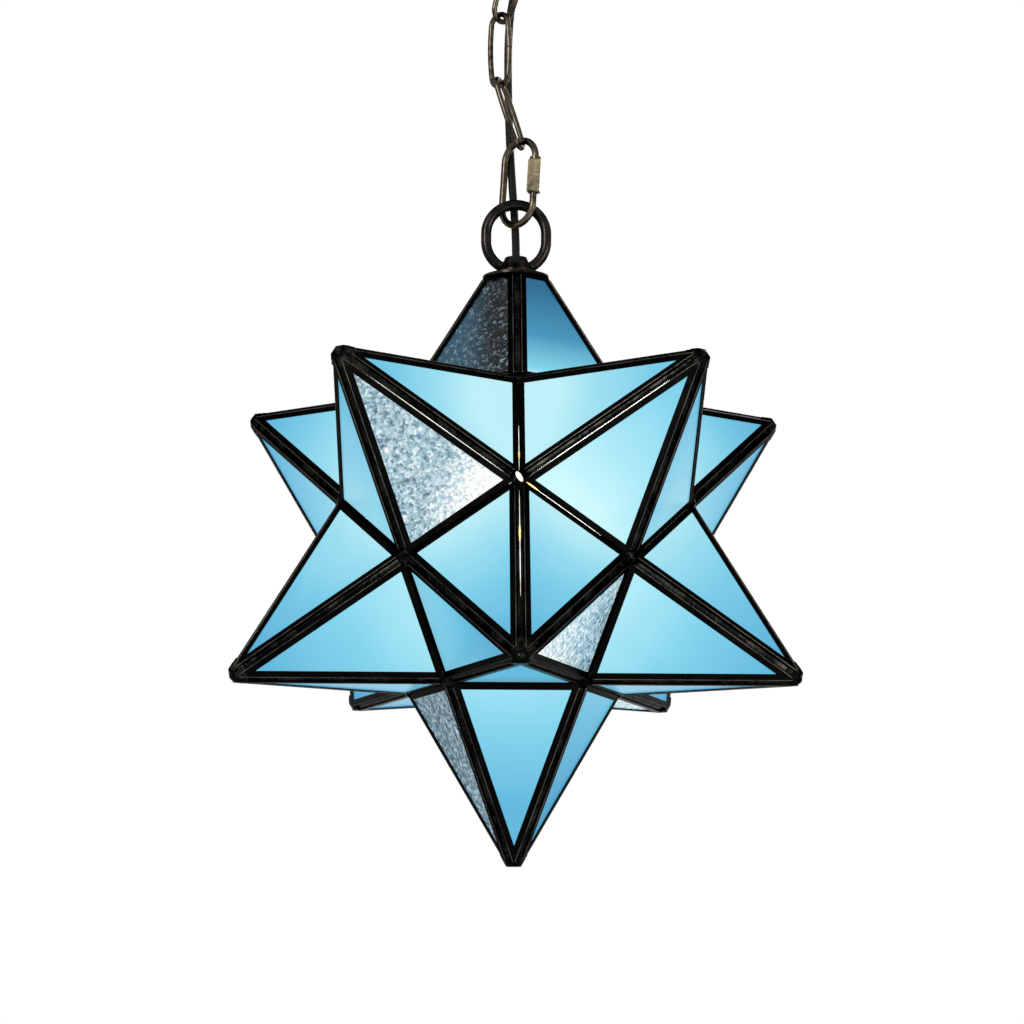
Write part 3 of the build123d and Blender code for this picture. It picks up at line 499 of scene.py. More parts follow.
def opal_blue_glass(colours):
    """Opal blue sheet glass, machine rolled, with its glow painted into its emission colour: painted
    lamplight, palest near the lamp, and painted shade where the lampholder shades the top point, with faint
    streaks where the melt was stirred."""
    # All in metres: spacing of the streaks and how far they shift the glow, distances from the lamp, and
    # heights above it
    streak, shift = 0.045, 0.016
    glow_start, glow_end = 0.084, 0.169
    top_low, top_high = 0.063, 0.118
    shade_low, shade_high = 0.058, 0.064
    material, tree, place = start_material("opal_blue_glass")
    distance, offset = from_lamp(tree, place, BLUE_LAMP)
    streaks = put(tree, "ShaderNodeTexNoise", {"Scale": 1 / streak, "Detail": 3.0, "Distortion": 0.6},
                  {"Vector": place})
    sway = put(tree, "ShaderNodeMath", {1: 0.5}, {0: streaks}, operation="SUBTRACT")
    blurred = put(tree, "ShaderNodeMath", {1: shift}, {0: sway, 2: distance}, operation="MULTIPLY_ADD")
    far = put(tree, "ShaderNodeMapRange", {"From Min": glow_start, "From Max": glow_end}, {"Value": blurred})
    glow = put(tree, "ShaderNodeValToRGB", links={"Fac": far},
               stops=[(0.0, colours.glow_core), (1.0, colours.glow_tip), (0.25, colours.glow_near),
                      (0.55, colours.glow_middle)])
    # Painted shade on the top point, deeper where the lampholder stands in the way of the lamp
    climb = put(tree, "ShaderNodeMapRange", {"From Min": top_low, "From Max": top_high},
                {"Value": offset["Z"]})
    shade = put(tree, "ShaderNodeValToRGB", links={"Fac": climb},
                stops=[(0.0, colours.top_painted_glow), (1.0, colours.top_painted_shade), (0.42, colours.top_painted_half_shade)])
    above = put(tree, "ShaderNodeMapRange", {"From Min": shade_low, "From Max": shade_high},
                {"Value": offset["Z"]})
    light = put(tree, "ShaderNodeMix", links={"Factor": above, "A": glow, "B": shade}, data_type="RGBA")
    # The glow is painted: the emission colour stands in for the lamp's light through the glass
    surface = put(tree, "ShaderNodeBsdfPrincipled",
                  {"Base Color": colours.glass_body, "Roughness": 0.28, "IOR": GLASS_IOR,
                   "Emission Strength": 1.4, "Specular IOR Level": 0.02, "Coat Weight": 1.0, "Coat IOR": 1.1,
                   "Coat Roughness": 0.25, "Coat Tint": colours.glass_depth},
                  {"Emission Color": light})
    end_material(tree, surface)
    return material


def hammered_clear_glass(colours):
    """Clear cathedral glass, hammered by a patterned roller: each dimple bends the light, so it breaks what
    is behind into small flakes. Here the flakes are painted into the emission colour: painted lamplight,
    white towards the lamp, grey further out, and painted shade, dark beside the lampholder."""
    # All in metres: sizes of the patterns, how far the flakes bend the facets, the depth of the relief,
    # distances from the lamp, heights along a point, places beside the lamp, and heights above it
    flake, facet, tint, bend, dimple = 0.0024, 0.0016, 0.0034, 0.003, 0.0002
    white_start, white_end = 0.062, 0.096
    point_foot, point_tip = 0.082, 0.17
    blue_start, blue_end = -0.047, -0.026
    shade_low, shade_high = 0.046, 0.056
    # Levels of tone: what the lamp adds, and the level along a point that changes nothing
    lamp_lift, even = 0.38, 0.5
    material, tree, place = start_material("hammered_clear_glass")
    distance, offset = from_lamp(tree, place, CLEAR_LAMP)
    # Soft flakes of about 1.5 mm, drawn out by the roller, and facets of that size with sharp edges
    soft = put(tree, "ShaderNodeTexNoise",
               {"Scale": 1 / flake, "Detail": 3.0, "Roughness": 0.6, "Distortion": 0.7}, {"Vector": place})
    bent = put(tree, "ShaderNodeVectorMath", {1: (bend, bend, bend)}, {0: soft.outputs["Color"], 2: place},
               operation="MULTIPLY_ADD")
    facets = put(tree, "ShaderNodeTexVoronoi", {"Scale": 1 / facet}, {"Vector": bent})
    flakes = put(tree, "ShaderNodeMix", {"Factor": 0.34}, {"A": soft, "B": facets.outputs["Color"]},
                 data_type="FLOAT")
    tints = put(tree, "ShaderNodeTexNoise", {"Scale": 1 / tint, "Detail": 1.0, "Distortion": 1.0},
                {"Vector": place})
    near = put(tree, "ShaderNodeMapRange",
               {"From Min": white_start, "From Max": white_end, "To Min": lamp_lift, "To Max": 0.0},
               {"Value": distance}, interpolation_type="SMOOTHSTEP")
    tone = put(tree, "ShaderNodeMath", links={0: flakes, 1: near}, operation="ADD")
    # Painted shade and light: the lower front point is darker at its foot and brighter towards its tip, and
    # the bottom one is darker
    from_centre = put(tree, "ShaderNodeMapping", {"Location": tuple(-STAR_CENTRE)}, {"Vector": place})
    for point, foot, tip in (("lower_front", 0.42, 0.72), ("bottom", 0.32, 0.37)):
        reach = put(tree, "ShaderNodeVectorMath", {1: tuple(POINTS[point])}, {0: from_centre},
                    operation="DOT_PRODUCT")
        share = put(tree, "ShaderNodeMapRange", {"From Min": point_foot, "From Max": point_tip},
                    {"Value": reach})
        change = put(tree, "ShaderNodeValToRGB", links={"Fac": share},
                     stops=[(0.0, (even, even, even, 1)), (1.0, (tip, tip, tip, 1)),
                            (0.03, (foot, foot, foot, 1))])
        tone = put(tree, "ShaderNodeMath", links={0: tone, 1: change}, operation="ADD")
        tone = put(tree, "ShaderNodeMath", {1: even}, {0: tone}, operation="SUBTRACT")
    day = put(tree, "ShaderNodeValToRGB", links={"Fac": tone},
              stops=[(0.16, colours.clear_shadow), (0.72, colours.clear_painted_lamplight), (0.36, colours.clear_deep),
                     (0.49, colours.clear_grey), (0.6, colours.clear_pale)])
    hue = put(tree, "ShaderNodeValToRGB", links={"Fac": tints},
              stops=[(0.38, colours.clear_warm), (0.62, colours.clear_sky)])
    tinted = put(tree, "ShaderNodeMix", {"Factor": 0.3}, {"A": day, "B": hue}, data_type="RGBA",
                 blend_type="SOFT_LIGHT")
    # Painted shade beside the lampholder: dark, bluer to the left, with a few grey flakes
    beside = put(tree, "ShaderNodeMapRange",
                 {"From Min": blue_start, "From Max": blue_end, "To Min": 1.0, "To Max": 0.0},
                 {"Value": offset["X"]}, interpolation_type="SMOOTHSTEP")
    deep = put(tree, "ShaderNodeMix", {"A": colours.clear_painted_shade, "B": colours.clear_painted_shade_blue},
               {"Factor": beside}, data_type="RGBA")
    fleck = put(tree, "ShaderNodeMapRange", {"From Min": 0.56, "From Max": 0.84}, {"Value": flakes})
    night = put(tree, "ShaderNodeMix", {"B": colours.clear_grey}, {"Factor": fleck, "A": deep},
                data_type="RGBA")
    shade = put(tree, "ShaderNodeMapRange", {"From Min": shade_low, "From Max": shade_high},
                {"Value": offset["Z"]})
    seen = put(tree, "ShaderNodeMix", links={"Factor": shade, "A": tinted, "B": night}, data_type="RGBA")
    relief = put(tree, "ShaderNodeBump", {"Strength": 0.7, "Distance": dimple}, {"Height": flakes})
    # The flakes' tones are painted into the emission colour: painted lamplight and painted shade
    surface = put(tree, "ShaderNodeBsdfPrincipled",
                  {"Base Color": colours.clear_body, "Roughness": 0.14, "IOR": GLASS_IOR,
                   "Transmission Weight": 0.03, "Emission Strength": 1.0, "Specular IOR Level": 0.1},
                  {"Emission Color": seen, "Normal": relief})
    end_material(tree, surface)
    return material


def clear_cover_plastic(colours):
    """Clear polycarbonate, injection moulded, with faint spiral flutes that catch the light."""
    flute, depth = 0.02, 0.0002
    material, tree, place = start_material("clear_cover_polycarbonate")
    turned = put(tree, "ShaderNodeMapping", {"Rotation": (0.0, radians(35), 0.0)}, {"Vector": place})
    flutes = put(tree, "ShaderNodeTexWave", {"Scale": 1 / flute, "Distortion": 0.4}, {"Vector": turned})
    relief = put(tree, "ShaderNodeBump", {"Strength": 0.4, "Distance": depth},
                 {"Height": flutes.outputs["Fac"]})
    surface = put(tree, "ShaderNodeBsdfPrincipled",
                  {"Base Color": colours.cover_clear, "Roughness": 0.05, "IOR": POLYCARBONATE_IOR,
                   "Transmission Weight": 0.95},
                  {"Normal": relief})
    end_material(tree, surface)
    return material


def led_phosphor(colours):
    """Yellow phosphor over an LED: soft, granular and lit from within."""
    grain = 0.0008
    material, tree, place = start_material("led_phosphor")
    grains = put(tree, "ShaderNodeTexNoise", {"Scale": 1 / grain}, {"Vector": place})
    colour = put(tree, "ShaderNodeValToRGB", links={"Fac": grains},
                 stops=[(0.35, colours.chip_amber), (0.6, colours.chip_yellow)])
    surface = put(tree, "ShaderNodeBsdfPrincipled", {"Roughness": 0.45, "Emission Strength": 1.1},
                  {"Base Color": colour, "Emission Color": colour})
    end_material(tree, surface)
    return material


def dress(material, *nodes):
    """Give CAD nodes their material."""
    for node in nodes:
        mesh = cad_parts[node].data
        mesh.materials.clear()
        mesh.materials.append(material)


def soften(node, width):
    """Round a CAD node's sharp edges a little, so that they catch the light."""
    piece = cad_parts[node]
    weld = piece.modifiers.new("weld", "WELD")
    weld.merge_threshold = WELD_GAP
    edges = piece.modifiers.new("edges", "BEVEL")
    edges.width = width
    edges.segments = 2
    edges.limit_method = "ANGLE"
    edges.angle_limit = SHARP_EDGE
    edges.miter_outer = "MITER_ARC"
    faces = piece.modifiers.new("faces", "WEIGHTED_NORMAL")
    faces.weight = 60


def deselect():
    """Leave object mode with nothing selected."""
    if bpy.context.object and bpy.context.object.mode != "OBJECT":
        bpy.ops.object.mode_set(mode="OBJECT")
    bpy.ops.object.select_all(action="DESELECT")


def pick(*pieces):
    """Select these objects alone and make the first one active."""
    deselect()
    for piece in pieces:
        piece.select_set(True)
    bpy.context.view_layer.objects.active = pieces[0]


def edit_all():
    """Go into edit mode with the whole mesh selected."""
    bpy.ops.object.mode_set(mode="EDIT")
    bpy.ops.mesh.select_all(action="SELECT")


def stretch(scale):
    """Scale the active object's mesh about the origin."""
    edit_all()
    bpy.ops.transform.resize(value=scale, center_override=(0, 0, 0))
    bpy.ops.object.mode_set(mode="OBJECT")


def apply_all(piece):
    """Apply every modifier of a piece."""
    pick(piece)
    for modifier in list(piece.modifiers):
        bpy.ops.object.modifier_apply(modifier=modifier.name)


def regrid(piece, size):
    """Give a closed piece an even mesh with faces of one size."""
    grid = piece.modifiers.new("grid", "REMESH")
    grid.mode = "VOXEL"
    grid.voxel_size = size
    apply_all(piece)


def settle(piece, name, material, smooth=False):
    """Name a finished piece, put its place in its mesh and give it its material."""
    pick(piece)
    bpy.ops.object.transform_apply(location=True, rotation=True, scale=True)
    if smooth:
        bpy.ops.object.shade_smooth()
    piece.name = name
    piece.data.name = name
    piece.data.materials.clear()
    piece.data.materials.append(material)
    return piece


def linked(name, data):
    """A new object in the scene."""
    made = bpy.data.objects.new(name, data)
    bpy.context.scene.collection.objects.link(made)
    return made


def drop(piece):
    """Delete a master or a guide that isn't part of the object."""
    bpy.data.objects.remove(piece, do_unlink=True)


def joined(pieces):
    """Join pieces into the first of them."""
    pick(*pieces)
    if len(pieces) > 1:
        bpy.ops.object.join()
    return pieces[0]


def copies(master, places):
    """One copy of a modelled master at each place, each with its own mesh, joined into one piece."""
    made = []
    for place in places:
        mesh = master.data.copy()
        mesh.transform(place)
        made.append(linked(master.name + "_copy", mesh))
    piece = joined(made)
    drop(master)
    return piece


def turned_to(across, outwards, along, spot):
    """Matrix that turns x, y and z to these directions and moves the origin to a spot."""
    place = Matrix((across, outwards, along)).transposed().to_4x4()
    place.translation = spot
    return place


def wander(piece, strength, size, texture_kind="CLOUDS"):
    """Move a piece's surface in and out by a procedural pattern, and apply that to the mesh."""
    texture = bpy.data.textures.new(piece.name + "_pattern", texture_kind)
    texture.noise_scale = size
    shift = piece.modifiers.new("shift", "DISPLACE")
    shift.texture = texture
    shift.texture_coords = "LOCAL"
    shift.strength = strength
    shift.mid_level = 0.5
    apply_all(piece)
    bpy.data.textures.remove(texture)


def spun(outline, steps=56):
    """Turn a closed outline of (radius, height) corners about the hanging axis."""
    deselect()
    bpy.ops.mesh.primitive_plane_add(size=0.001, location=(0, 0, 0))
    piece = bpy.context.object
    bpy.ops.object.mode_set(mode="EDIT")
    bpy.ops.mesh.select_mode(type="VERT")
    bpy.ops.mesh.select_all(action="SELECT")
    bpy.ops.mesh.merge(type="CENTER")
    corners = [Vector((radius, 0, height)) for radius, height in outline]
    bpy.ops.transform.translate(value=corners[0])
    for before, after in zip(corners, corners[1:] + corners[:1]):
        bpy.ops.mesh.extrude_region_move(TRANSFORM_OT_translate={"value": after - before})
    bpy.ops.mesh.select_all(action="SELECT")
    bpy.ops.mesh.remove_doubles(threshold=SPIN_GAP)
    bpy.ops.mesh.spin(steps=steps, angle=2 * pi, center=(0, 0, 0), axis=(0, 0, 1))
    bpy.ops.mesh.select_all(action="SELECT")
    bpy.ops.mesh.remove_doubles(threshold=SPIN_GAP)
    bpy.ops.mesh.normals_make_consistent(inside=False)
    bpy.ops.object.mode_set(mode="OBJECT")
    bpy.ops.object.shade_smooth_by_angle(angle=SHARP_EDGE)
    return piece


def curve_along(name, kind, places):
    """A curve object with one open spline that has these points."""
    curve = bpy.data.curves.new(name, "CURVE")
    curve.dimensions = "3D"
    spline = curve.splines.new(kind)
    spline.points.add(len(places) - 1)
    for point, place in zip(spline.points, places):
        point.co = (*place, 1)
    return linked(name, curve)


def cord_points():
    """Points of the cord's own smooth line."""
    line = curve_along("cord_line", "NURBS", CORD_ROUTE)
    curve = line.data
    curve.resolution_u = 10
    curve.splines[0].order_u = 3
    curve.splines[0].use_endpoint_u = True
    mesh = bpy.data.meshes.new_from_object(line)
    places = [v.co.copy() for v in mesh.vertices]
    bpy.data.meshes.remove(mesh)
    drop(line)
    bpy.data.curves.remove(curve)
    return places


def at_height(places, height):
    """Point of the cord's line at a height."""
    for upper, lower in zip(places, places[1:]):
        if upper.z >= height >= lower.z:
            return upper.lerp(lower, (upper.z - height) / (upper.z - lower.z))
    return places[-1]


class PENDANT_OT_cord(bpy.types.Operator):
    """Make the supply cord that runs down behind the chain"""

    bl_idname = "pendant.cord"
    bl_label = "Supply cord"

    def execute(self, context):
        sizes = context.scene.pendant_cord
        sheath = finish(context.scene.pendant_colours, "black_pvc_sheath")
        line = cord_points()
        start = line[0]
        for name, low, upper_body, lower_body, bend_start, bend_end in CORD_STRETCHES:
            end = at_height(line, low)
            between = [p for p in line if start.z - CORD_POINT_GAP > p.z > end.z + CORD_POINT_GAP]
            path = [start, *between, end]
            piece = curve_along(name, "POLY", path)
            piece.data.bevel_depth = sizes.cord_diameter / 2
            piece.data.bevel_resolution = sizes.cord_sides // 4 - 1
            piece.data.use_fill_caps = True
            pick(piece)
            bpy.ops.object.convert(target="MESH")
            piece = settle(context.object, name, sheath)
            bpy.ops.object.shade_smooth_by_angle(angle=CORD_END_EDGE)
            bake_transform(piece)
            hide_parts("supply_cord")
            start = end
        return {"FINISHED"}


class PENDANT_OT_frames(bpy.types.Operator):
    """Finish the channel frames and the solder in the valleys"""

    bl_idname = "pendant.frames"
    bl_label = "Channel frames"

    def execute(self, context):
        patina = finish(context.scene.pendant_colours, "black_patina_came")
        for name in POINTS:
            dress(patina, f"{name}_point_frame")
            soften(f"{name}_point_frame", context.scene.pendant_star.frame_round)
        dress(patina, "valley_solder")
        return {"FINISHED"}


class PENDANT_OT_solder(bpy.types.Operator):
    """Run the solder along the ridges, at the corners and over the tips, with painted highlights and painted
    lamplight in the seams at the front
    """

    bl_idname = "pendant.solder"
    bl_label = "Solder"

    def execute(self, context):
        sizes = context.scene.pendant_star
        colours = context.scene.pendant_colours
        solder = finish(colours, "blackened_solder")
        self.ridges(sizes, solder, finish(colours, "rubbed_came_edge"))
        self.corners(sizes, solder)
        self.tips(sizes, solder)
        self.front_corner(sizes, finish(colours, "wiped_tin_seam"), finish(colours, "lamplit_tin_seam"))
        return {"FINISHED"}

    def ridges(self, sizes, solder, rubbed):
        """A bead along the middle of each ridge, and the channels' lighter edges on both sides of it: partly
        rubbed wear, partly painted highlight lines.
        """
        for name, point in POINTS.items():
            begin = sizes.door_bead_start if name == "door" else sizes.bead_start
            bead_end, edge_end = sizes.bead_end, sizes.edge_end
            if name == "top":
                bead_end = edge_end = sizes.top_height / RIDGE_COSINE + TOP_END_GAP
            length = RIDGE_LENGTH - begin
            middles = []
            edges = []
            for one, two in ridge_pairs(name):
                foot = corner_direction(name, one, two) * CORE_RADIUS
                along = (point * TIP_RADIUS - foot).normalized()
                outwards = foot - point * foot.dot(point)
                outwards = (outwards - along * outwards.dot(along)).normalized()
                across = outwards.cross(along)
                start = STAR_CENTRE + foot + along * begin
                middles.append(turned_to(across, outwards, along, start - outwards * sizes.bead_sink))
                for side in (-1, 1):
                    beside = start + across * side * sizes.edge_reach - outwards * sizes.edge_sink
                    edges.append(turned_to(across, outwards, along, beside))
            bead = self.bar(sizes.bead_half_width, sizes.bead_half_height, length - bead_end)
            self.lay(bead, middles, name, "ridge_beads", solder, (sizes.bead_wave, sizes.bead_wave_size))
            edge = self.bar(sizes.edge_half_width, sizes.edge_half_width, length - edge_end)
            self.lay(edge, edges, name, "ridge_edges", rubbed, None)

    def bar(self, half_width, half_height, length):
        """One straight bar of oval section from the origin along z."""
        deselect()
        bpy.ops.mesh.primitive_cylinder_add(vertices=12, radius=1, depth=1, location=(0, 0, 0.5))
        piece = bpy.context.object
        bpy.ops.object.transform_apply(location=True)
        bpy.ops.object.mode_set(mode="EDIT")
        bpy.ops.mesh.select_mode(type="EDGE")
        bpy.ops.mesh.select_all(action="DESELECT")
        bpy.ops.object.mode_set(mode="OBJECT")
        # The bar is still 1 long, so only the edges along it rise by more than half of that
        for edge in piece.data.edges:
            ends = [piece.data.vertices[v].co for v in edge.vertices]
            edge.select = abs(ends[0].z - ends[1].z) > 0.5
        bpy.ops.object.mode_set(mode="EDIT")
        bpy.ops.mesh.subdivide(number_cuts=max(4, int(length / BAR_STEP)))
        bpy.ops.object.mode_set(mode="OBJECT")
        stretch((half_width, half_height, length))
        return piece

    def lay(self, master, places, name, kind, material, wave):
        """Lay copies of a bar along a point's ridges, and make hand-run ones a little uneven."""
        piece = copies(master, places)
        if wave:
            wander(piece, *wave)
        piece = settle(piece, f"{name}_{kind}", material, smooth=True)
        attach(piece, body_of_point(name))

    def corners(self, sizes, solder):
        """Flat blobs of solder where ridges and valleys meet, deeper where the hinged point needs room."""
        deselect()
        bpy.ops.mesh.primitive_ico_sphere_add(subdivisions=4, radius=sizes.blob_radius, location=(0, 0, 0))
        master = bpy.context.object
        stretch((1, 1, CORNER_FLATNESS))
        names = list(POINTS)
        places = []
        for i, one in enumerate(names):
            for two, three in ridge_pairs(one):
                trio = (one, two, three)
                if names.index(two) < i or names.index(three) < i:
                    continue
                outwards = corner_direction(*trio)
                place = outwards.to_track_quat("Z", "Y").to_matrix().to_4x4()
                sink = sizes.door_blob_sink if "door" in trio else CORNER_SINK
                place.translation = STAR_CENTRE + outwards * (CORE_RADIUS - sink)
                places.append(place)
        piece = copies(master, places)
        wander(piece, *CORNER_WAVE)
        piece = settle(piece, "corner_solder", solder, smooth=True)
        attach(piece, "star")

    def tips(self, sizes, solder):
        """Solder over each blunt tip: domed, flat on the lowest tip, and a piece of its own on the door."""
        places = {"star": [], "door": [], "bottom": []}
        for name, point in POINTS.items():
            if name == "top":
                continue
            one, two = ridge_pairs(name)[0]
            foot = point + POINTS[one] + POINTS[two]
            outwards = (foot - point * foot.dot(point)).normalized()
            middle = TIP_RADIUS - TIP_CUT - TIP_START / 2 - sizes.tip_height / 2
            place = turned_to(outwards.cross(point), outwards, point, STAR_CENTRE + point * middle)
            places["bottom" if name == "bottom" else body_of_point(name)].append(place)
        for kind, spots in places.items():
            piece = copies(self.tip(sizes, 0 if kind == "bottom" else sizes.tip_dome), spots)
            wander(piece, *TIP_WAVE)
            piece = settle(piece, f"{kind}_tip_solder", solder, smooth=True)
            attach(piece, "door" if kind == "door" else "star")

    def tip(self, sizes, rise):
        """Solder over one blunt tip, with a dome on its end where there is room for one."""
        deselect()
        near = (TIP_CUT + TIP_START) * RIDGE_SPREAD
        far = (TIP_CUT + sizes.tip_height) * RIDGE_SPREAD
        bpy.ops.mesh.primitive_cone_add(vertices=5, radius1=far + TIP_SKIN, radius2=near + TIP_SKIN,
                                        depth=sizes.tip_height - TIP_START, location=(0, 0, 0))
        master = bpy.context.object
        for face in master.data.polygons:
            face.select = face.normal.z > 0.9
        bpy.ops.object.mode_set(mode="EDIT")
        if rise:
            bpy.ops.mesh.extrude_region_move(TRANSFORM_OT_translate={"value": (0, 0, rise)})
            bpy.ops.transform.resize(value=(DOME_TOP, DOME_TOP, 1))
        bpy.ops.mesh.select_all(action="SELECT")
        bpy.ops.mesh.bevel(offset=TIP_ROUNDING, segments=3, affect="EDGES")
        bpy.ops.object.mode_set(mode="OBJECT")
        regrid(master, sizes.tip_grid)
        return master

    def front_corner(self, sizes, tin, lit):
        """Painted highlights round the corner that faces the front: bright seams, a drop, and glints of
        painted lamplight.
        """
        left, right, low = "upper_front_left", "upper_front_right", "lower_front"
        front = corner_direction(left, right, low) * CORE_RADIUS
        above = corner_direction(left, right, "top") * CORE_RADIUS
        beside = corner_direction(right, low, "lower_front_right") * CORE_RADIUS
        down = POINTS[low] * TIP_RADIUS
        drop_line = (beside - above).normalized() * sizes.drop_length
        valley, ridge = sizes.valley_sink, sizes.ridge_sink
        thin, wide = sizes.seam_half_width, sizes.glint_half_width
        # Each line: from where to where, the shares of that length where it starts and ends, depth and width
        lines = [
            (front, above, 0.06, 0.5, valley, thin),
            (front, beside, 0.04, 0.72, valley, thin),
            (front, down, 0.06, 0.66, ridge, thin),
            (front - drop_line, front + drop_line, 0.0, 1.0, -sizes.drop_rise, sizes.drop_half_width),
        ]
        # The lower edges of the two upper ridges at that corner get painted highlight lines as well
        for tip in (POINTS[left] * TIP_RADIUS, POINTS[right] * TIP_RADIUS):
            lower = front.cross(tip - front).normalized() * sizes.highlight_edge_reach
            lower = lower if lower.z < 0 else -lower
            lines.append((front + lower, tip + lower, 0.03, 0.82, sizes.edge_sink,
                          sizes.highlight_edge_half_width))
        self.seams("front_seams", tin, sizes.seam_half_height, lines)
        self.seams("front_glints", lit, sizes.seam_half_height, [
            (front, above, 0.17, 0.25, valley - sizes.glint_rise, wide),
            (front, beside, 0.06, 0.17, valley - sizes.glint_rise, wide),
            (front, down, 0.25, 0.36, ridge, wide),
        ])

    def seams(self, name, material, half_height, lines):
        """Slivers of solder along lines, as one piece."""
        pieces = []
        for start, end, first, last, sink, half_width in lines:
            along = (end - start).normalized()
            outwards = (start + end) / 2
            outwards = (outwards - along * outwards.dot(along)).normalized()
            half_length = (end - start).length * (last - first) / 2
            deselect()
            bpy.ops.mesh.primitive_uv_sphere_add(segments=12, ring_count=32, radius=1, location=(0, 0, 0))
            stretch((half_width, half_height, half_length))
            spot = STAR_CENTRE + start.lerp(end, (first + last) / 2) - outwards * sink
            place = turned_to(outwards.cross(along), outwards, along, spot)
            pieces.append(copies(bpy.context.object, [place]))
        piece = joined(pieces)
        wander(piece, *SEAM_WAVE)
        piece = settle(piece, name, material, smooth=True)
        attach(piece, "star")


class PENDANT_OT_blue_glass(bpy.types.Operator):
    """Finish the blue opal panes"""

    bl_idname = "pendant.blue_glass"
    bl_label = "Blue glass"

    def execute(self, context):
        glass = opal_blue_glass(context.scene.pendant_colours)
        dress(glass, *(f"{name}_point_blue_glass" for name in POINTS))
        return {"FINISHED"}


class PENDANT_OT_clear_glass(bpy.types.Operator):
    """Hammer the clear panes"""

    bl_idname = "pendant.clear_glass"
    bl_label = "Clear hammered glass"

    def execute(self, context):
        sizes = context.scene.pendant_star
        glass = hammered_clear_glass(context.scene.pendant_colours)
        for node, body, name in (("clear_glass_panes", "star", "hammered_panes"),
                                 ("door_clear_glass", "door", "hammered_door_pane")):
            piece = linked(name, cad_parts[node].data.copy())
            pick(piece)
            edit_all()
            bpy.ops.mesh.remove_doubles(threshold=WELD_GAP)
            bpy.ops.object.mode_set(mode="OBJECT")
            regrid(piece, sizes.hammer_grid)
            wander(piece, -sizes.hammer_depth, sizes.hammer_size, "VORONOI")
            settle(piece, name, glass, smooth=True)
            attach(piece, body)
            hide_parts(node)
        return {"FINISHED"}


class PENDANT_OT_hinge(bpy.types.Operator):
    """Finish the hinge of the opening point"""

    bl_idname = "pendant.hinge"
    bl_label = "Hinge"

    def execute(self, context):
        dress(finish(context.scene.pendant_colours, "patinated_hinge_tube"),
              "hinge_fixed_knuckles", "hinge_door_knuckle", "hinge_pin")
        return {"FINISHED"}


class PENDANT_OT_chain(bpy.types.Operator):
    """Finish the chain, the quick link and its nut"""

    bl_idname = "pendant.chain"
    bl_label = "Chain and quick link"

    def execute(self, context):
        colours = context.scene.pendant_colours
        dress(finish(colours, "antique_brass_plate"),
              "chain_link_upper", "chain_link_middle", "chain_link_lower", "quick_link")
        # The nut's lighter plate is partly a painted sheen
        dress(finish(colours, "handled_brass_plate"), "quick_link_nut")
        return {"FINISHED"}


class PENDANT_OT_loops(bpy.types.Operator):
    """Finish the two ring loops, the canopy and the disc on the star's top"""

    bl_idname = "pendant.loops"
    bl_label = "Ring loops"

    def execute(self, context):
        dress(finish(context.scene.pendant_colours, "dark_bronze_coat"),
              "canopy_loop", "star_loop", "star_cap_disc", "canopy")
        return {"FINISHED"}


class PENDANT_OT_mount(bpy.types.Operator):
    """Finish the crossbar, nipples and locknuts"""

    bl_idname = "pendant.mount"
    bl_label = "Ceiling mount"

    def execute(self, context):
        dress(finish(context.scene.pendant_colours, "zinc_plated_steel"),
              "ceiling_crossbar", "canopy_nipple", "canopy_locknut", "star_locknut", "star_nipple")
        return {"FINISHED"}


class PENDANT_OT_lampholder(bpy.types.Operator):
    """Finish the lampholder"""

    bl_idname = "pendant.lampholder"
    bl_label = "Lampholder"

    def execute(self, context):
        colours = context.scene.pendant_colours
        dress(finish(colours, "moulded_phenolic"),
              "lampholder_cap", "lampholder_shell", "lampholder_insulator")
        dress(finish(colours, "pressed_brass"), "lampholder_screw_shell", "lampholder_contact")
        return {"FINISHED"}


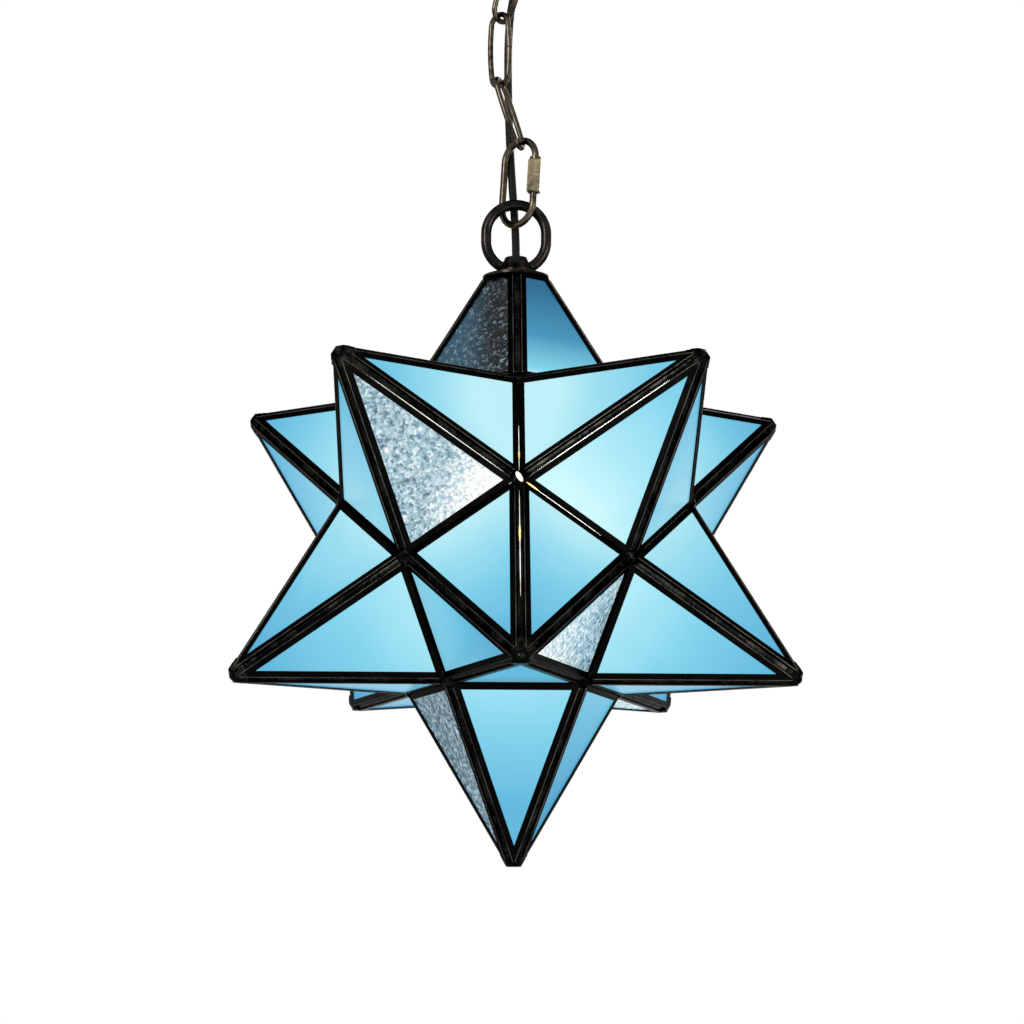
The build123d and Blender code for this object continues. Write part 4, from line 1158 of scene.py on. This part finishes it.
class PENDANT_OT_bulb(bpy.types.Operator):
    """Make the LED lamp: finned collar, column with LEDs, clear cover and base"""

    bl_idname = "pendant.bulb"
    bl_label = "LED lamp"

    def execute(self, context):
        sizes = context.scene.pendant_bulb
        colours = context.scene.pendant_colours
        dress(finish(colours, "rolled_aluminium"), "bulb_screw_base", "bulb_tip_contact")
        dress(finish(colours, "moulded_insulator"), "bulb_tip_insulator")
        dress(finish(colours, "white_solder_mask"), "bulb_led_column")
        dress(clear_cover_plastic(colours), "bulb_cover")
        self.collar(sizes, finish(colours, "pink_metallic_lacquer"))
        self.chips(sizes, led_phosphor(colours))
        return {"FINISHED"}

    def collar(self, sizes, lacquer):
        """Collar with two grooves between its fins."""
        low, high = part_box("bulb_collar")
        outer, top, bottom = high.x, high.z, low.z
        inner = outer - sizes.fin_depth - COLLAR_WALL
        outline = [(inner, top), (outer - 2 * COLLAR_CORNER, top), (outer - COLLAR_CORNER, top - FIN_CORNER),
                   (outer, top - 2 * COLLAR_CORNER)]
        level = top - (top - bottom) * FIRST_GROOVE
        for _ in range(2):
            outline += [(outer, level + FIN_CORNER), (outer - FIN_CORNER, level),
                        (outer - sizes.fin_depth, level),
                        (outer - sizes.fin_depth, level - sizes.fin_gap),
                        (outer - FIN_CORNER, level - sizes.fin_gap),
                        (outer, level - sizes.fin_gap - FIN_CORNER)]
            level -= sizes.fin_gap + FIN_WIDTH
        outline += [(outer, bottom + COLLAR_CORNER), (outer - COLLAR_CORNER, bottom), (inner, bottom)]
        piece = settle(spun(outline), "finned_collar", lacquer)
        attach(piece, "bulb")
        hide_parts("bulb_collar")

    def chips(self, sizes, phosphor):
        """Staggered rows of LEDs on the column."""
        low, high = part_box("bulb_led_column")
        deselect()
        bpy.ops.mesh.primitive_cube_add(size=1, location=(0, 0, 0))
        master = bpy.context.object
        stretch((sizes.chip_width, sizes.chip_height * 2, sizes.chip_width))
        edit_all()
        bpy.ops.mesh.bevel(offset=CHIP_ROUNDING, segments=1)
        bpy.ops.object.mode_set(mode="OBJECT")
        places = []
        step = (high.z - low.z) / sizes.chip_rows
        for row in range(sizes.chip_rows):
            level = high.z - (row + 0.5) * step
            for column in range(sizes.chips_round):
                turn = 2 * pi * (column + 0.5 * (row % 2)) / sizes.chips_round
                place = Matrix.Rotation(turn, 4, "Z")
                place.translation = Vector((sin(turn) * high.x, -cos(turn) * high.x, level))
                places.append(place)
        piece = settle(copies(master, places), "led_chips", phosphor)
        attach(piece, "bulb")


class PENDANT_OT_stage(bpy.types.Operator):
    """Set the camera, the floor, the lights and the world"""

    bl_idname = "pendant.stage"
    bl_label = "Stage"

    def execute(self, context):
        stage = context.scene.pendant_stage
        context.scene.view_settings.view_transform = "Standard"
        self.camera(context, stage)
        self.floor(stage, finish(context.scene.pendant_colours, "pale_studio_paper"))
        self.lights()
        self.world(context)
        return {"FINISHED"}

    def camera(self, context, stage):
        """Camera below the star's middle, looking up a little."""
        data = bpy.data.cameras.new("camera")
        data.lens = stage.lens
        data.sensor_width = 36
        data.clip_end = 50
        camera = linked("camera", data)
        swing = Matrix.Rotation(stage.camera_swing, 3, "Z")
        tilt = stage.camera_tilt
        forward = swing @ Vector((0, cos(tilt), sin(tilt)))
        up = swing @ Vector((0, -sin(tilt), cos(tilt)))
        right = swing @ Vector((1, 0, 0))
        back = STAR_CENTRE - forward * stage.camera_distance
        camera.location = back + up * CAMERA_RISE - right * CAMERA_LEFT
        lean = Matrix.Rotation(-stage.camera_roll, 3, forward)
        camera.rotation_euler = Matrix((lean @ right, lean @ up, -forward)).transposed().to_euler()
        context.scene.camera = camera

    def floor(self, stage, paper):
        """Pale floor below the star."""
        deselect()
        bpy.ops.mesh.primitive_plane_add(size=stage.floor_size, location=(0, 0, -stage.floor_drop))
        floor = bpy.context.object
        floor.name = "studio_floor"
        floor.data.materials.append(paper)

    def lights(self):
        """Soft lights from the front on both sides, from below and from behind."""
        for name, (place, size, power) in LIGHTS.items():
            data = bpy.data.lights.new(name, "AREA")
            data.energy = power
            data.size = size
            lamp = linked(name, data)
            lamp.location = place
            aim = STAR_CENTRE - Vector(place)
            lamp.rotation_euler = aim.to_track_quat("-Z", "Y").to_euler()

    def world(self, context):
        """White all round for the camera, metal and glass, and a lower level of light."""
        world = bpy.data.worlds.new("studio")
        context.scene.world = world
        world.use_nodes = True
        tree = world.node_tree
        tree.nodes.clear()
        ray = put(tree, "ShaderNodeLightPath").outputs
        seen = put(tree, "ShaderNodeMath", links={0: ray["Is Camera Ray"], 1: ray["Is Glossy Ray"]},
                   operation="MAXIMUM")
        shown = put(tree, "ShaderNodeMath", links={0: seen, 1: ray["Is Transmission Ray"]},
                    operation="MAXIMUM")
        dim = put(tree, "ShaderNodeBackground", {"Color": WHITE, "Strength": ROOM_LIGHT})
        white = put(tree, "ShaderNodeBackground", {"Color": WHITE, "Strength": SEEN_WHITE})
        either = put(tree, "ShaderNodeMixShader", links={0: shown, 1: dim, 2: white})
        put(tree, "ShaderNodeOutputWorld", links={"Surface": either})


class PENDANT_PT_panel(bpy.types.Panel):
    """Star pendant light, in the 3D view's sidebar"""

    bl_idname = "PENDANT_PT_panel"
    bl_label = "Star pendant light"
    bl_space_type = "VIEW_3D"
    bl_region_type = "UI"
    bl_category = "Star pendant"

    def draw(self, context):
        for operator in OPERATORS:
            self.layout.operator(operator.bl_idname)


GROUPS = {
    "pendant_star": StarSizes,
    "pendant_cord": CordSizes,
    "pendant_bulb": BulbSizes,
    "pendant_colours": FinishColours,
    "pendant_stage": StageSettings,
}
OPERATORS = (
    PENDANT_OT_stage, PENDANT_OT_cord, PENDANT_OT_frames, PENDANT_OT_solder, PENDANT_OT_blue_glass,
    PENDANT_OT_clear_glass, PENDANT_OT_hinge, PENDANT_OT_chain, PENDANT_OT_loops, PENDANT_OT_mount,
    PENDANT_OT_lampholder, PENDANT_OT_bulb,
)


def register():
    for group in (*GROUPS.values(), *OPERATORS, PENDANT_PT_panel):
        bpy.utils.register_class(group)
    for name, group in GROUPS.items():
        setattr(bpy.types.Scene, name, PointerProperty(type=group))


def unregister():
    for name in GROUPS:
        delattr(bpy.types.Scene, name)
    for group in (PENDANT_PT_panel, *OPERATORS, *GROUPS.values()):
        bpy.utils.unregister_class(group)


def main():
    register()
    for operator in OPERATORS:
        family, name = operator.bl_idname.split(".")
        getattr(getattr(bpy.ops, family), name)()


if __name__ == "__main__":
    main()
